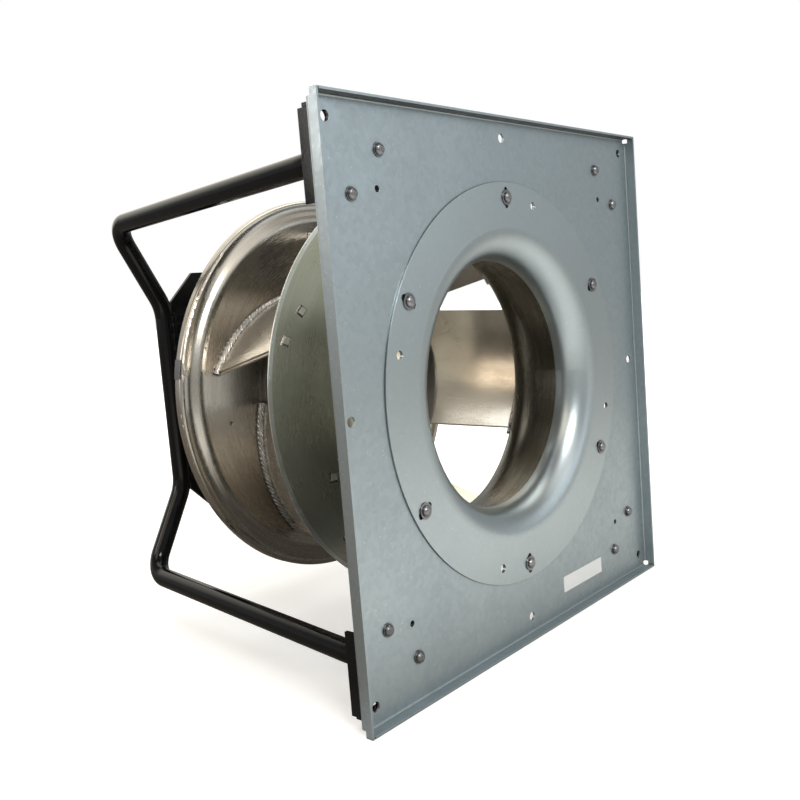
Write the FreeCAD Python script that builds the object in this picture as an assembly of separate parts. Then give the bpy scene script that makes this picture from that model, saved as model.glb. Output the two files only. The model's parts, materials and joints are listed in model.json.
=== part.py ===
import FreeCAD, Part
import math
import os
from FreeCAD import Vector

# Centrifugal plug fan on a square support plate.
# Millimetres. X is to the right seen from the inlet, Y runs along the fan axis into the fan, Z is up.
# The origin is on the fan axis, in the front face of the support plate.

# Support plate: a tray of galvanised sheet, its four lips folded towards the inlet
plate_side = 630.0
plate_sheet = 2.5
plate_lip = 14.0
plate_bend_radius = 4.5
corner_slit = 1.2
corner_relief = 5.0
mount_inset = 22.5
mount_hole = 11.0
locating_inset = 88.3
locating_hole = 7.0

# Inlet nozzle: a bell mouth rolled from sheet, its flange on the front of the plate
nozzle_sheet = 2.0
nozzle_throat = 305.0
nozzle_bell_radius = 36.0
nozzle_length = 38.0
nozzle_opening_gap = 11.5
nozzle_screw_inset = 23.5
nozzle_screw_margin = 18.0
nozzle_screw_count = 6
nozzle_slot_length = 25.0
nozzle_slot_width = 8.0
nozzle_hole = 10.0
nozzle_hole_gap = 0.5
nozzle_hole_offset = 1.5
nozzle_hole_count = 4
nozzle_hole_start = 75.0

# Fasteners: pan head screws with a six-pointed drive, plain washers and hexagon nuts
screw_size = 6.0
screw_hole_gap = 0.3
head_diameter = 12.0
head_height = 3.8
drive_size = 6.4
drive_depth = 2.4
nozzle_washer_diameter = 18.0
bracket_washer_diameter = 14.5
washer_sheet = 1.6
nut_width = 10.0
nut_height = 5.0
thread_past_nut = 2.5

# Bent tube frame and the four brackets that carry it on the back of the plate
bracket_side = 95.0
bracket_setback = 8.0
bracket_sheet = 4.0
bracket_flange = 18.5
bracket_bend_radius = 6.0
bracket_screw_inset = 8.5
bracket_screw_step = 45.0
bracket_hole_gap = 1.0
tube_diameter = 25.0
tube_wall = 2.0
tube_foot_outward = 5.5
tube_foot_downward = 3.5
tube_foot_run = 52.0
tube_shoulder_inward = 41.4
tube_shoulder_downward = 15.0
tube_back_x = 161.0
tube_back_z = 128.0
tube_depth = 478.0
tube_foot_bend = 120.0
tube_shoulder_bend = 34.0
tube_back_bend = 60.0
frame_weld = 5.0

# Motor plate: an octagon between the upright runs of the two tubes
motor_plate_sheet = 5.0
motor_plate_height = 349.0
motor_plate_chamfer = 41.0
motor_plate_reach = 1.5
motor_plate_bore = 60.0
motor_screw_circle = 150.0
motor_screw_size = 8.0
motor_head_diameter = 14.0
motor_head_height = 4.8
motor_washer_diameter = 18.0
stitch_length = 30.0
stitch_radius = 4.0

# Impeller: five backward curved blades welded between a back disc and a front shroud
impeller_sheet = 3.0
shroud_sheet = 2.5
shroud_overhang = 2.0
shroud_rim_depth = 156.5
shroud_cone_angle = 20.0
shroud_flare_radius = 65.0
eye_running_gap = 2.0
eye_overlap = 9.0
disc_diameter = 520.0
disc_depth = 311.0
disc_rim_width = 25.0
disc_step = 8.0
disc_step_width = 13.0
disc_lip = 12.0
disc_bend_radius = 5.0
disc_crease_radius = 18.0
disc_hollow_radius = 14.0
blade_count = 5
blade_flange_gap = 2.0
blade_inner_angle = 111.5
blade_outer_setback = 23.7
blade_outer_angle = 170.0
blade_camber = 24.0
blade_lean = 15.8
blade_lean_heading = 131.6
hem_width = 11.0
hem_sheet = 2.2
hem_setback = 3.0
tab_width = 9.0
tab_thickness = 7.0
tab_gap = 0.6
tab_room = 2.2
tab_recess = 0.5
tab_places = (0.30, 0.74, 0.95)
root_weld = 7.0
tip_weld = 3.3
weld_sink = 0.8
disc_hole = 6.0
disc_hole_radius = 195.0
disc_hole_angle = -172.0
clip_length = 24.0
clip_sheet = 1.2
clip_grip = 10.0
clip_bend_radius = 1.4
clip_angle = 169.0

# External rotor motor
rotor_diameter = 248.0
rotor_wall = 8.0
rotor_before_disc = 96.0
rotor_behind_disc = 34.0
rotor_corner_radius = 14.0
rotor_flange_width = 13.0
rotor_flange_sheet = 6.0
rotor_seat_gap = 0.25
rotor_recess = 70.0
rotor_recess_depth = 2.5
rotor_tapped_circle = 96.0
rotor_tapped_count = 4
rotor_tapped_depth = 6.0
hub_screw_count = 8
magnet_thickness = 8.5
magnet_count = 10
magnet_gap = 2.0
magnet_overlap = 2.0
air_gap = 1.0
coil_front_gap = 18.0
coil_rear_gap = 6.0
slot_count = 12
tooth_width = 14.0
slot_floor = 56.0
tooth_tip = 6.5
slot_mouth = 4.0
slot_mouth_depth = 5.0
coil_build = 6.0
coil_overhang = 11.0
coil_floor_gap = 4.0
coil_tip_gap = 1.0
coil_corner_radius = 4.0
shaft_diameter = 25.0
shaft_past_bearing = 4.0
shaft_end_gap = 2.0
shaft_inset = 4.0
shaft_shoulder = 2.5
groove_depth = 1.0
groove_width = 1.5
circlip_width = 4.5
circlip_mouth = 6.0
bearing_outer = 52.0
bearing_width = 15.0
bearing_pitch = 38.5
ball_diameter = 7.4
ball_count = 9
race_gap = 0.35
cage_sheet = 3.2
cage_rim = 0.8
ring_gap = 0.8
bearing_floor_gap = 21.0
bearing_boss_gap = 4.0
bearing_ledge = 5.0
bearing_flange_lead = 14.0
preload_sheet = 2.0
preload_width = 5.5
bush_diameter = 64.0
bush_setback = 4.0
bush_rotor_gap = 4.0
bush_flange_sheet = 12.0
bush_screw_inset = 8.0
bush_screw_count = 6
bush_screw_size = 5.0
bush_screw_head = 8.0
bush_screw_head_height = 3.0
bush_screw_grip = 10.0
boss_diameter = 12.0
boss_depth = 14.0

# Electronics housing behind the motor, with a terminal chamber on its underside
housing_setback = 6.0
housing_wall = 4.0
housing_back = 8.0
spigot_height = 3.0
spigot_gap = 0.1
fin_count = 36
fin_reach = 15.0
fin_sheet = 3.0
fin_front_setback = 10.0
fin_rear_setback = 6.0
terminal_width = 120.0
terminal_margin = 8.0
terminal_below_housing = 30.0
terminal_corner_radius = 8.0
cover_sheet = 4.0
gasket_sheet = 2.0
gasket_width = 10.0
cover_screw_size = 4.0
cover_screw_head = 8.0
cover_screw_head_height = 2.8
cover_screw_inset = 8.0
cover_screw_grip = 10.0
cover_post = 10.0
cover_post_height = 24.0
gland_diameter = 20.0
gland_bore = 11.0
gland_collar = 2.0
gland_length = 22.0
gland_above_cover = 17.0
board_sheet = 1.6
board_gap = 0.3
board_notch_margin = 10.0
board_notch_height = 33.0
capacitor_diameter = 22.0
capacitor_height = 34.0
capacitor_count = 4
capacitor_spacing = 30.0
capacitor_row = 48.0
capacitor_flange_gap = 8.0
block_width = 80.0
block_length = 20.0
block_height = 22.0
block_above_cover = 26.0
way_count = 8
way_pitch = 9.4
way_diameter = 4.8
rail_width = 16.0
rail_sheet = 3.0

# Places that follow from the sizes above
full_turn = 360.0
plate_back = plate_sheet
mount_pitch = plate_side - 2 * mount_inset
locating_pitch = plate_side - 2 * locating_inset
tube_radius = tube_diameter / 2
bracket_back = plate_back + bracket_sheet
bracket_high = plate_side / 2 - bracket_setback
bracket_low = bracket_high - bracket_side
bracket_centre = (bracket_low + bracket_high) / 2
bracket_screw_near = bracket_low + bracket_screw_inset
bracket_screw_far = bracket_screw_near + bracket_screw_step
tube_foot_x = bracket_centre + tube_foot_outward
tube_foot_z = bracket_centre - tube_foot_downward
tube_shoulder_x = tube_foot_x - tube_shoulder_inward
tube_shoulder_z = tube_foot_z - tube_shoulder_downward
throat_radius = nozzle_throat / 2
opening_radius = throat_radius + nozzle_bell_radius + nozzle_opening_gap
nozzle_screw_radius = opening_radius + nozzle_screw_inset
nozzle_flange_radius = nozzle_screw_radius + nozzle_screw_margin
eye_radius = throat_radius + nozzle_sheet + eye_running_gap
eye_front = nozzle_length - eye_overlap
disc_radius = disc_diameter / 2
disc_flat_radius = disc_radius - disc_rim_width
rim_radius = disc_radius + shroud_overhang
cone_slope = math.tan(math.radians(shroud_cone_angle))
cone_corner = shroud_rim_depth - (rim_radius - eye_radius) * cone_slope
motor_plate_front = tube_depth - motor_plate_sheet / 2
motor_plate_back = tube_depth + motor_plate_sheet / 2
rotor_radius = rotor_diameter / 2
rotor_inside = rotor_radius - rotor_wall
rotor_flange_radius = rotor_radius + rotor_flange_width
hub_screw_radius = rotor_radius + rotor_flange_width / 2
blade_inner_radius = rotor_flange_radius + blade_flange_gap
blade_outer_radius = disc_flat_radius - blade_outer_setback
rotor_front = disc_depth - rotor_before_disc
rotor_rear = disc_depth + rotor_behind_disc
rotor_floor = rotor_front + rotor_wall
coil_front = rotor_floor + coil_front_gap
coil_back = rotor_rear - coil_rear_gap
core_front = coil_front + coil_overhang
core_back = coil_back - coil_overhang
core_radius = rotor_inside - magnet_thickness - air_gap
bush_flange_front = rotor_rear + bush_rotor_gap
front_bearing = rotor_floor + bearing_floor_gap
rear_bearing = bush_flange_front - bearing_flange_lead
shaft_groove = rear_bearing + bearing_width
shaft_rear = shaft_groove + shaft_past_bearing
bush_flange_radius = rotor_radius - bush_setback
housing_radius = rotor_radius - housing_setback
housing_inside = housing_radius - housing_wall
bush_screw_radius = housing_radius - bush_screw_inset
housing_front = bush_flange_front + bush_flange_sheet
housing_rear = motor_plate_front
housing_floor = housing_rear - housing_back
terminal_front = housing_front + terminal_margin
terminal_rear = housing_rear - terminal_margin
terminal_middle = (terminal_front + terminal_rear) / 2
terminal_length = terminal_rear - terminal_front
terminal_drop = housing_radius + terminal_below_housing
gland_spacing = terminal_length / 2
board_front = housing_front + capacitor_flange_gap + capacitor_height


# A closed face in the XY plane: radius along X, depth along Y.
# A step is a corner, or a pair: a point that an arc passes through, and the corner where it ends.
def outline(start, *steps):
    edges = []
    here = Vector(*start, 0)
    for step in steps + (start,):
        curved = isinstance(step[0], tuple)
        there = Vector(*(step[1] if curved else step), 0)
        if curved:
            edges.append(Part.Arc(here, Vector(*step[0], 0), there).toShape())
        elif here.distanceToPoint(there) > 1e-6:
            edges.append(Part.LineSegment(here, there).toShape())
        here = there
    return Part.Face(Part.Wire(edges))


# Straight runs through the corners, each inner corner rounded by an arc tangent to both runs
def rounded_runs(corners, radii):
    edges = []
    here = corners[0]
    for corner, before, after, radius in zip(corners[1:-1], corners, corners[2:], radii):
        back = (before - corner).normalize()
        ahead = (after - corner).normalize()
        half_angle = back.getAngle(ahead) / 2
        inward = (back + ahead).normalize()
        reach = radius / math.tan(half_angle)
        middle = corner + inward * (radius / math.sin(half_angle) - radius)
        edges.append(Part.LineSegment(here, corner + back * reach).toShape())
        edges.append(Part.Arc(corner + back * reach, middle, corner + ahead * reach).toShape())
        here = corner + ahead * reach
    edges.append(Part.LineSegment(here, corners[-1]).toShape())
    return edges


# The section of a bent sheet. One face runs through the corners, rounded by the radii,
# and the other lies a thickness to its left, or to its right where the thickness is negative.
def sheet_section(corners, radii, thickness):
    points = [Vector(*corner, 0) for corner in corners]
    ways = [(after - before).normalize() for before, after in zip(points, points[1:])]
    lefts = [Vector(-way.y, way.x, 0) for way in ways]
    offset = [points[0] + lefts[0] * thickness]
    offset_radii = []
    for place, radius in enumerate(radii):
        left, next_left = lefts[place], lefts[place + 1]
        shift = (left + next_left) * (thickness / (1 + left.dot(next_left)))
        offset.append(points[place + 1] + shift)
        turn = math.copysign(1, ways[place].cross(ways[place + 1]).z)
        offset_radii.append(radius - turn * thickness)
    offset.append(points[-1] + lefts[-1] * thickness)
    edges = rounded_runs(points, radii)
    edges += rounded_runs(offset, offset_radii)
    edges.append(Part.LineSegment(points[0], offset[0]).toShape())
    edges.append(Part.LineSegment(points[-1], offset[-1]).toShape())
    return Part.Face(Part.Wire(Part.__sortEdges__(edges)))


# A face turned once about the fan axis
def turned(face):
    return face.revolve(Vector(0, 0, 0), Vector(0, 1, 0), full_turn)


def ring(inner, outer, front, back):
    return turned(outline((inner, front), (outer, front), (outer, back), (inner, back)))


# A round bar along the fan axis, at a place across it
def round_bar(x, z, diameter, front, back):
    return Part.makeCylinder(diameter / 2, back - front, Vector(x, front, z), Vector(0, 1, 0))


def block(x_range, y_range, z_range):
    size = [high - low for low, high in (x_range, y_range, z_range)]
    return Part.makeBox(*size, Vector(x_range[0], y_range[0], z_range[0]))


# A place on a circle about the fan axis; the angle runs from +X towards +Z
def on_circle(radius, angle):
    return radius * math.cos(math.radians(angle)), radius * math.sin(math.radians(angle))


# A copy swung about the fan axis, from +X towards +Z
def swung(shape, angle):
    copy = shape.copy()
    copy.rotate(Vector(0, 0, 0), Vector(0, 1, 0), -angle)
    return copy


def swung_copies(shape, count):
    return [swung(shape, full_turn / count * place) for place in range(count)]


def moved(shape, x, y, z):
    copy = shape.copy()
    copy.translate(Vector(x, y, z))
    return copy


def mirrored(shape, normal):
    return shape.mirror(Vector(0, 0, 0), normal)


def regular_prism(corner_radii, front, back):
    count = len(corner_radii)
    places = [on_circle(radius, full_turn / count * place) for place, radius in enumerate(corner_radii)]
    corners = [Vector(x, front, z) for x, z in places]
    return Part.Face(Part.makePolygon(corners + corners[:1])).extrude(Vector(0, back - front, 0))


# A pan head screw along Y, its head's seat at depth 0 and its head towards the inlet
def pan_screw(size, diameter, height, length):
    radius = diameter / 2
    crown = ((radius * 0.72, -height * 0.93), (0, -height))
    head = outline((0, 0), (radius, 0), (radius, -height * 0.35), crown)
    star = [drive_size / 2 if place % 2 else drive_size / 2 * 0.76 for place in range(12)]
    recess = regular_prism(star, -height, -height + drive_depth)
    shank = outline((0, 0), (size / 2, 0), (size / 2, length - 0.8), (size / 2 - 0.8, length), (0, length))
    return turned(head).cut(recess).fuse(turned(shank)).removeSplitter()


def washer(size, diameter, sheet):
    return ring(size / 2 + screw_hole_gap, diameter / 2, -sheet, 0)


def hexagon_nut(size, width, height):
    corner = width / math.sqrt(3)
    return regular_prism([corner] * 6, 0, height).cut(ring(0, size / 2, 0, height))


# Copies of one fastener piece, seated at a depth over each place
def fasteners(piece, places, depth):
    return Part.makeCompound([moved(piece, x, depth, z) for x, z in places])


def corner_places(pitch):
    half = pitch / 2
    return [(side * half, level * half) for side in (-1, 1) for level in (-1, 1)]


def bracket_screw_places():
    near, far = bracket_screw_near, bracket_screw_far
    pairs = [(near, far), (far, near)]
    return [(side * x, level * z) for side in (-1, 1) for level in (-1, 1) for x, z in pairs]


def nozzle_screw_places():
    step = full_turn / nozzle_screw_count
    return [on_circle(nozzle_screw_radius, 90 + step * place) for place in range(nozzle_screw_count)]


def nozzle_hole_places():
    radius = nozzle_screw_radius - nozzle_hole_offset
    step = full_turn / nozzle_hole_count
    return [on_circle(radius, nozzle_hole_start + step * place) for place in range(nozzle_hole_count)]


def support_plate():
    half = plate_side / 2
    inner = half - plate_sheet
    tray = block((-half, half), (-plate_lip, plate_back), (-half, half))
    back_edges = [edge for edge in tray.Edges if all(vertex.Y > 0 for vertex in edge.Vertexes)]
    tray = tray.makeFillet(plate_bend_radius, back_edges)
    hollow = block((-inner, inner), (-plate_lip, 0), (-inner, inner))
    floor_edges = [edge for edge in hollow.Edges if all(vertex.Y > -1 for vertex in edge.Vertexes)]
    tray = tray.cut(hollow.makeFillet(plate_bend_radius - plate_sheet, floor_edges))
    relief_start = inner - corner_relief
    relief = block((relief_start, half), (-corner_relief, plate_back), (relief_start, half))
    slit = block((inner - corner_slit, inner), (-plate_lip, 0), (relief_start, half))
    cuts = []
    for side, level in corner_places(2):
        for piece in (relief, slit):
            piece = piece if side > 0 else mirrored(piece, Vector(1, 0, 0))
            cuts.append(piece if level > 0 else mirrored(piece, Vector(0, 0, 1)))
    edge_middles = [on_circle(mount_pitch / 2, 90 * place) for place in range(4)]
    for x, z in corner_places(mount_pitch) + edge_middles:
        cuts.append(round_bar(x, z, mount_hole, -1, plate_back + 1))
    for x, z in corner_places(locating_pitch):
        cuts.append(round_bar(x, z, locating_hole, -1, plate_back + 1))
    for x, z in bracket_screw_places() + nozzle_screw_places():
        cuts.append(round_bar(x, z, screw_size + 2 * screw_hole_gap, -1, plate_back + 1))
    for x, z in nozzle_hole_places():
        cuts.append(round_bar(x, z, nozzle_hole + 2 * nozzle_hole_gap, -1, plate_back + 1))
    cuts.append(round_bar(0, 0, 2 * opening_radius, -1, plate_back + 1))
    return tray.cut(cuts)


def inlet_nozzle():
    front = -nozzle_sheet
    corners = [(throat_radius, nozzle_length), (throat_radius, front), (nozzle_flange_radius, front)]
    nozzle = turned(sheet_section(corners, [nozzle_bell_radius], nozzle_sheet))
    reach = (nozzle_slot_length - nozzle_slot_width) / 2
    middle = nozzle_screw_radius
    ends = [round_bar(middle + side * reach, 0, nozzle_slot_width, front - 1, 1) for side in (-1, 1)]
    half_width = nozzle_slot_width / 2
    slot = block((middle - reach, middle + reach), (front - 1, 1), (-half_width, half_width)).fuse(ends)
    cuts = [swung(copy, 90) for copy in swung_copies(slot, nozzle_screw_count)]
    cuts += [round_bar(x, z, nozzle_hole, front - 1, 1) for x, z in nozzle_hole_places()]
    return nozzle.cut(cuts)


def nozzle_fasteners():
    seat = -nozzle_sheet - washer_sheet
    length = plate_back + nut_height + thread_past_nut - seat
    places = nozzle_screw_places()
    screw = pan_screw(screw_size, head_diameter, head_height, length)
    plain = washer(screw_size, nozzle_washer_diameter, washer_sheet)
    nut = hexagon_nut(screw_size, nut_width, nut_height)
    return {
        "nozzle_screws": fasteners(screw, places, seat),
        "nozzle_washers": fasteners(plain, places, -nozzle_sheet),
        "nozzle_nuts": fasteners(nut, places, plate_back),
    }


# The upper right bracket: a square foot with its two outer edges folded back
def corner_bracket():
    low, high = bracket_low, bracket_high
    back = plate_back + bracket_flange
    section = sheet_section([(low, plate_back), (high, plate_back), (high, back)],
                            [bracket_bend_radius], bracket_sheet)
    side_leaf = moved(section, 0, 0, low).extrude(Vector(0, 0, bracket_side))
    top_leaf = side_leaf.copy()
    top_leaf.rotate(Vector(0, 0, 0), Vector(1, 0, 1), 180)
    bracket = side_leaf.fuse(mirrored(top_leaf, Vector(0, 1, 0)))
    bend = (high - bracket_bend_radius, high)
    corner = block(bend, (plate_back, back), bend)
    holes = [round_bar(x, z, screw_size + 2 * screw_hole_gap, 0, bracket_back + 1)
             for x, z in ((bracket_screw_near, bracket_screw_far), (bracket_screw_far, bracket_screw_near))]
    mount = mount_pitch / 2
    holes.append(round_bar(mount, mount, mount_hole + 2 * bracket_hole_gap, 0, bracket_back + 1))
    return bracket.cut([corner] + holes).removeSplitter()


def corner_brackets():
    upper_right = corner_bracket()
    upper_left = mirrored(upper_right, Vector(1, 0, 0))
    return {
        "upper_right_bracket": upper_right,
        "upper_left_bracket": upper_left,
        "lower_right_bracket": mirrored(upper_right, Vector(0, 0, 1)),
        "lower_left_bracket": mirrored(upper_left, Vector(0, 0, 1)),
    }


def bracket_fasteners():
    length = bracket_back + nut_height + thread_past_nut + washer_sheet
    places = bracket_screw_places()
    screw = pan_screw(screw_size, head_diameter, head_height, length)
    plain = washer(screw_size, bracket_washer_diameter, washer_sheet)
    nut = hexagon_nut(screw_size, nut_width, nut_height)
    return {
        "bracket_screws": fasteners(screw, places, -washer_sheet),
        "bracket_washers": fasteners(plain, places, 0),
        "bracket_nuts": fasteners(nut, places, bracket_back),
    }


# The left tube runs back from the upper bracket, turns in, goes down behind the motor and returns
def tube_route():
    upper = [
        Vector(-tube_foot_x, bracket_back, tube_foot_z),
        Vector(-tube_foot_x, bracket_back + tube_foot_run, tube_foot_z),
        Vector(-tube_shoulder_x, tube_depth, tube_shoulder_z),
        Vector(-tube_back_x, tube_depth, tube_back_z),
    ]
    lower = [Vector(point.x, point.y, -point.z) for point in reversed(upper)]
    bends = [tube_foot_bend, tube_shoulder_bend, tube_back_bend]
    return Part.Wire(rounded_runs(upper + lower, bends + bends[::-1]))


def frame_tube():
    route = tube_route()
    start = Vector(-tube_foot_x, bracket_back, tube_foot_z)
    solids = []
    for radius in (tube_radius, tube_radius - tube_wall):
        section = Part.Wire(Part.Circle(start, Vector(0, 1, 0), radius).toShape())
        solids.append(route.makePipeShell([section], True, True))
    return solids[0].cut(solids[1])


def motor_plate():
    half_height = motor_plate_height / 2
    half_width = tube_back_x - tube_radius + motor_plate_reach
    inner_width = tube_back_x - tube_radius - motor_plate_chamfer
    inner_height = half_height - motor_plate_chamfer
    corners = [(half_width, -inner_height), (half_width, inner_height), (inner_width, half_height)]
    corners += [(-x, z) for x, z in reversed(corners)]
    corners.append((-inner_width, -half_height))
    corners.append((inner_width, -half_height))
    points = [Vector(x, motor_plate_front, z) for x, z in corners]
    plate = Part.Face(Part.makePolygon(points + points[:1])).extrude(Vector(0, motor_plate_sheet, 0))
    reach = motor_plate_height
    tubes = [Part.makeCylinder(tube_radius, reach, Vector(side * tube_back_x, tube_depth, -reach / 2))
             for side in (-1, 1)]
    holes = [round_bar(x, z, motor_screw_size, motor_plate_front - 1, motor_plate_back + 1)
             for x, z in motor_screw_places()]
    bore = round_bar(0, 0, motor_plate_bore, motor_plate_front - 1, motor_plate_back + 1)
    return plate.cut(tubes + holes + [bore])


def motor_screw_places():
    return [on_circle(motor_screw_circle / 2, 45 + 90 * place) for place in range(4)]


def motor_fasteners():
    length = motor_plate_sheet + washer_sheet + housing_back
    screw = pan_screw(motor_screw_size, motor_head_diameter, motor_head_height, length)
    screw.rotate(Vector(0, 0, 0), Vector(0, 0, 1), 180)
    plain = ring(motor_screw_size / 2 + screw_hole_gap, motor_washer_diameter / 2, 0, washer_sheet)
    return {
        "motor_screws": fasteners(screw, motor_screw_places(), motor_plate_back + washer_sheet),
        "motor_washers": fasteners(plain, motor_screw_places(), motor_plate_back),
    }


# Weld rings where the tubes stand on the brackets, and stitches along the motor plate
def frame_welds(tubes, plate):
    crown = ((tube_radius + frame_weld * 0.6, frame_weld * 0.6), (tube_radius, frame_weld))
    bead = turned(outline((tube_radius, 0), (tube_radius + frame_weld, 0), crown))
    beads = [moved(bead, side * tube_foot_x, bracket_back, level * tube_foot_z)
             for side in (-1, 1) for level in (-1, 1)]
    seam_x = tube_back_x - tube_radius
    seam_z = motor_plate_height / 2 - motor_plate_chamfer - stitch_length
    for side in (-1, 1):
        for face in (motor_plate_front, motor_plate_back):
            for level in (-seam_z - stitch_length / 2, seam_z - stitch_length / 2):
                foot = Vector(side * seam_x, face, level)
                stitch = Part.makeCylinder(stitch_radius, stitch_length, foot)
                pieces = stitch.cut([plate] + tubes).Solids
                beads.append(max(pieces, key=lambda piece: piece.Volume))
    return Part.makeCompound(beads)


# The front shroud's inner face: a short collar, a flare and a cone out to the rim
def shroud_corners():
    return [(eye_radius, eye_front), (eye_radius, cone_corner), (rim_radius, shroud_rim_depth)]


# How deep the shroud's inner face lies at a radius
def shroud_depth(radius):
    turn = math.radians(90 - shroud_cone_angle)
    flare_start = cone_corner - shroud_flare_radius * math.tan(turn / 2)
    flare_end = eye_radius + shroud_flare_radius * (1 - math.cos(turn))
    if radius >= flare_end:
        return shroud_rim_depth - (rim_radius - radius) * cone_slope
    rise = max(radius - eye_radius, 0) / shroud_flare_radius
    return flare_start + shroud_flare_radius * math.sin(math.acos(1 - rise))


# The space that the blades fill: between the shroud's inner face and the disc's front face
def blade_space():
    corners = [Vector(*corner, 0) for corner in shroud_corners()]
    edges = rounded_runs(corners, [shroud_flare_radius])
    closing = [corners[-1], Vector(rim_radius, disc_depth, 0), Vector(1, disc_depth, 0),
               Vector(1, eye_front, 0), corners[0]]
    edges += [Part.LineSegment(start, end).toShape() for start, end in zip(closing, closing[1:])]
    return turned(Part.Face(Part.Wire(edges)))


# The blade's arc, seen along the fan axis, on the front face of the disc: centre, radius and end angles
def blade_arc():
    inner = Vector(*on_circle(blade_inner_radius, blade_inner_angle), 0)
    outer = Vector(*on_circle(blade_outer_radius, blade_outer_angle), 0)
    chord = outer - inner
    radius = (chord.Length ** 2 / 4 + blade_camber ** 2) / (2 * blade_camber)
    hollow_way = Vector(-chord.y, chord.x, 0).normalize()
    centre = (inner + outer) * 0.5 + hollow_way * (radius - blade_camber)
    start = inner - centre
    finish = outer - centre
    start_angle = math.degrees(math.atan2(start.y, start.x))
    finish_angle = math.degrees(math.atan2(finish.y, finish.x))
    return centre, radius, start_angle, finish_angle


# A point on the blade's arc: how far along it, how far off its outer face, and how far towards the shroud
def blade_point(along, off, rise):
    centre, radius, start, finish = blade_arc()
    angle = math.radians(start + (finish - start) * along)
    lean = math.tan(math.radians(blade_lean)) * rise
    heading = math.radians(blade_lean_heading)
    x = centre.x + (radius + off) * math.cos(angle) + lean * math.cos(heading)
    z = centre.y + (radius + off) * math.sin(angle) + lean * math.sin(heading)
    return Vector(x, disc_depth - rise, z)


# A strip of curved sheet that follows the blade's arc and leans with it, from one rise to another
def blade_strip(along_range, off_range, rise_range):
    start, finish = along_range
    middle = (start + finish) / 2
    inside, outside = off_range
    foot, top = rise_range
    edges = [
        Part.Arc(*[blade_point(along, outside, foot) for along in (start, middle, finish)]).toShape(),
        Part.LineSegment(blade_point(finish, outside, foot), blade_point(finish, inside, foot)).toShape(),
        Part.Arc(*[blade_point(along, inside, foot) for along in (finish, middle, start)]).toShape(),
        Part.LineSegment(blade_point(start, inside, foot), blade_point(start, outside, foot)).toShape(),
    ]
    climb = blade_point(middle, 0, top) - blade_point(middle, 0, foot)
    return Part.Face(Part.Wire(edges)).extrude(climb)


def blade_span():
    return disc_depth - eye_front


def arc_length():
    centre, radius, start, finish = blade_arc()
    return math.radians(abs(finish - start)) * radius


# Tabs and the windows they pass: a gap on every side, and room on the outer and trailing ones
def tab_strips(gap, room, rise_range):
    half = (tab_width / 2 + gap) / arc_length()
    inside = -(impeller_sheet + tab_thickness) / 2 - gap
    outside = (tab_thickness - impeller_sheet) / 2 + gap + room
    trailing = half + room / arc_length()
    spans = [(place - half, place + trailing) for place in tab_places]
    return [blade_strip(span, (inside, outside), rise_range) for span in spans]


# The shroud lies between its rim and its collar
def shroud_rises():
    return disc_depth - shroud_rim_depth, blade_span()


def plain_shroud():
    return turned(sheet_section(shroud_corners(), [shroud_flare_radius], -shroud_sheet))


def plain_disc():
    step_back = disc_depth + disc_step
    corners = [
        (rotor_radius + rotor_seat_gap, disc_depth),
        (disc_flat_radius, disc_depth),
        (disc_flat_radius + disc_step_width, step_back),
        (disc_radius, step_back),
        (disc_radius, step_back + disc_lip),
    ]
    bends = [disc_crease_radius, disc_hollow_radius, disc_bend_radius]
    return turned(sheet_section(corners, bends, impeller_sheet))


def blade(shroud, disc):
    length = arc_length()
    body = blade_strip((0, 1), (-impeller_sheet, 0), (0, blade_span()))
    hem_range = (1 - (hem_setback + hem_width) / length, 1 - hem_setback / length)
    hem = blade_strip(hem_range, (0, hem_sheet), (0, blade_span()))
    sheet = body.fuse(hem).common(blade_space())
    front_tabs = [strip.common(shroud) for strip in tab_strips(0, 0, shroud_rises())]
    back_tabs = [strip.common(disc) for strip in tab_strips(0, 0, (-impeller_sheet + tab_recess, 0))]
    return sheet.fuse(front_tabs + back_tabs).removeSplitter()


def front_shroud(shroud):
    windows = Part.makeCompound(tab_strips(tab_gap, tab_room, shroud_rises()))
    return shroud.cut(swung_copies(windows, blade_count))


def back_disc(disc):
    windows = Part.makeCompound(tab_strips(tab_gap, tab_room, (-2 * impeller_sheet, 1)))
    front, back = disc_depth - 1, disc_depth + impeller_sheet + 1
    hole = screw_size + 2 * screw_hole_gap
    holes = [round_bar(x, z, hole, front, back) for x, z in hub_screw_places()]
    holes.append(round_bar(*on_circle(disc_hole_radius, disc_hole_angle), disc_hole, front, back))
    return disc.cut(swung_copies(windows, blade_count) + holes)


# The bead along a blade's outer face on the disc
def root_bead(blade_solid):
    centre, radius, start, finish = blade_arc()
    foot = disc_depth
    inner = radius - weld_sink
    crown = ((radius + root_weld * 0.72, foot - root_weld * 0.72), (radius + weld_sink, foot - root_weld))
    section = outline((inner, foot), (radius + root_weld, foot), crown, (inner, foot - root_weld))
    section.rotate(Vector(0, 0, 0), Vector(0, 1, 0), -start)
    bead = section.revolve(Vector(0, 0, 0), Vector(0, 1, 0), start - finish)
    bead.translate(Vector(centre.x, 0, centre.y))
    return max(bead.cut(blade_solid).Solids, key=lambda piece: piece.Volume)


# The bead along a blade's inner face under the shroud
def tip_bead(blade_solid, shroud):
    points = []
    for place in range(9):
        along = 0.01 + 0.98 * place / 8
        low, high = 0.0, blade_span()
        for step in range(40):
            middle = (low + high) / 2
            trial = blade_point(along, -impeller_sheet - 1, middle)
            inside = trial.y - 1 > shroud_depth(math.hypot(trial.x, trial.z))
            low, high = (middle, high) if inside else (low, middle)
        points.append(blade_point(along, -impeller_sheet - 1, low))
    curve = Part.BSplineCurve()
    curve.interpolate(points)
    section = Part.Wire(Part.Circle(points[0], points[1] - points[0], tip_weld).toShape())
    bead = Part.Wire(curve.toShape()).makePipeShell([section], True, True)
    return max(bead.cut([blade_solid, shroud]).Solids, key=lambda piece: piece.Volume)


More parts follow.
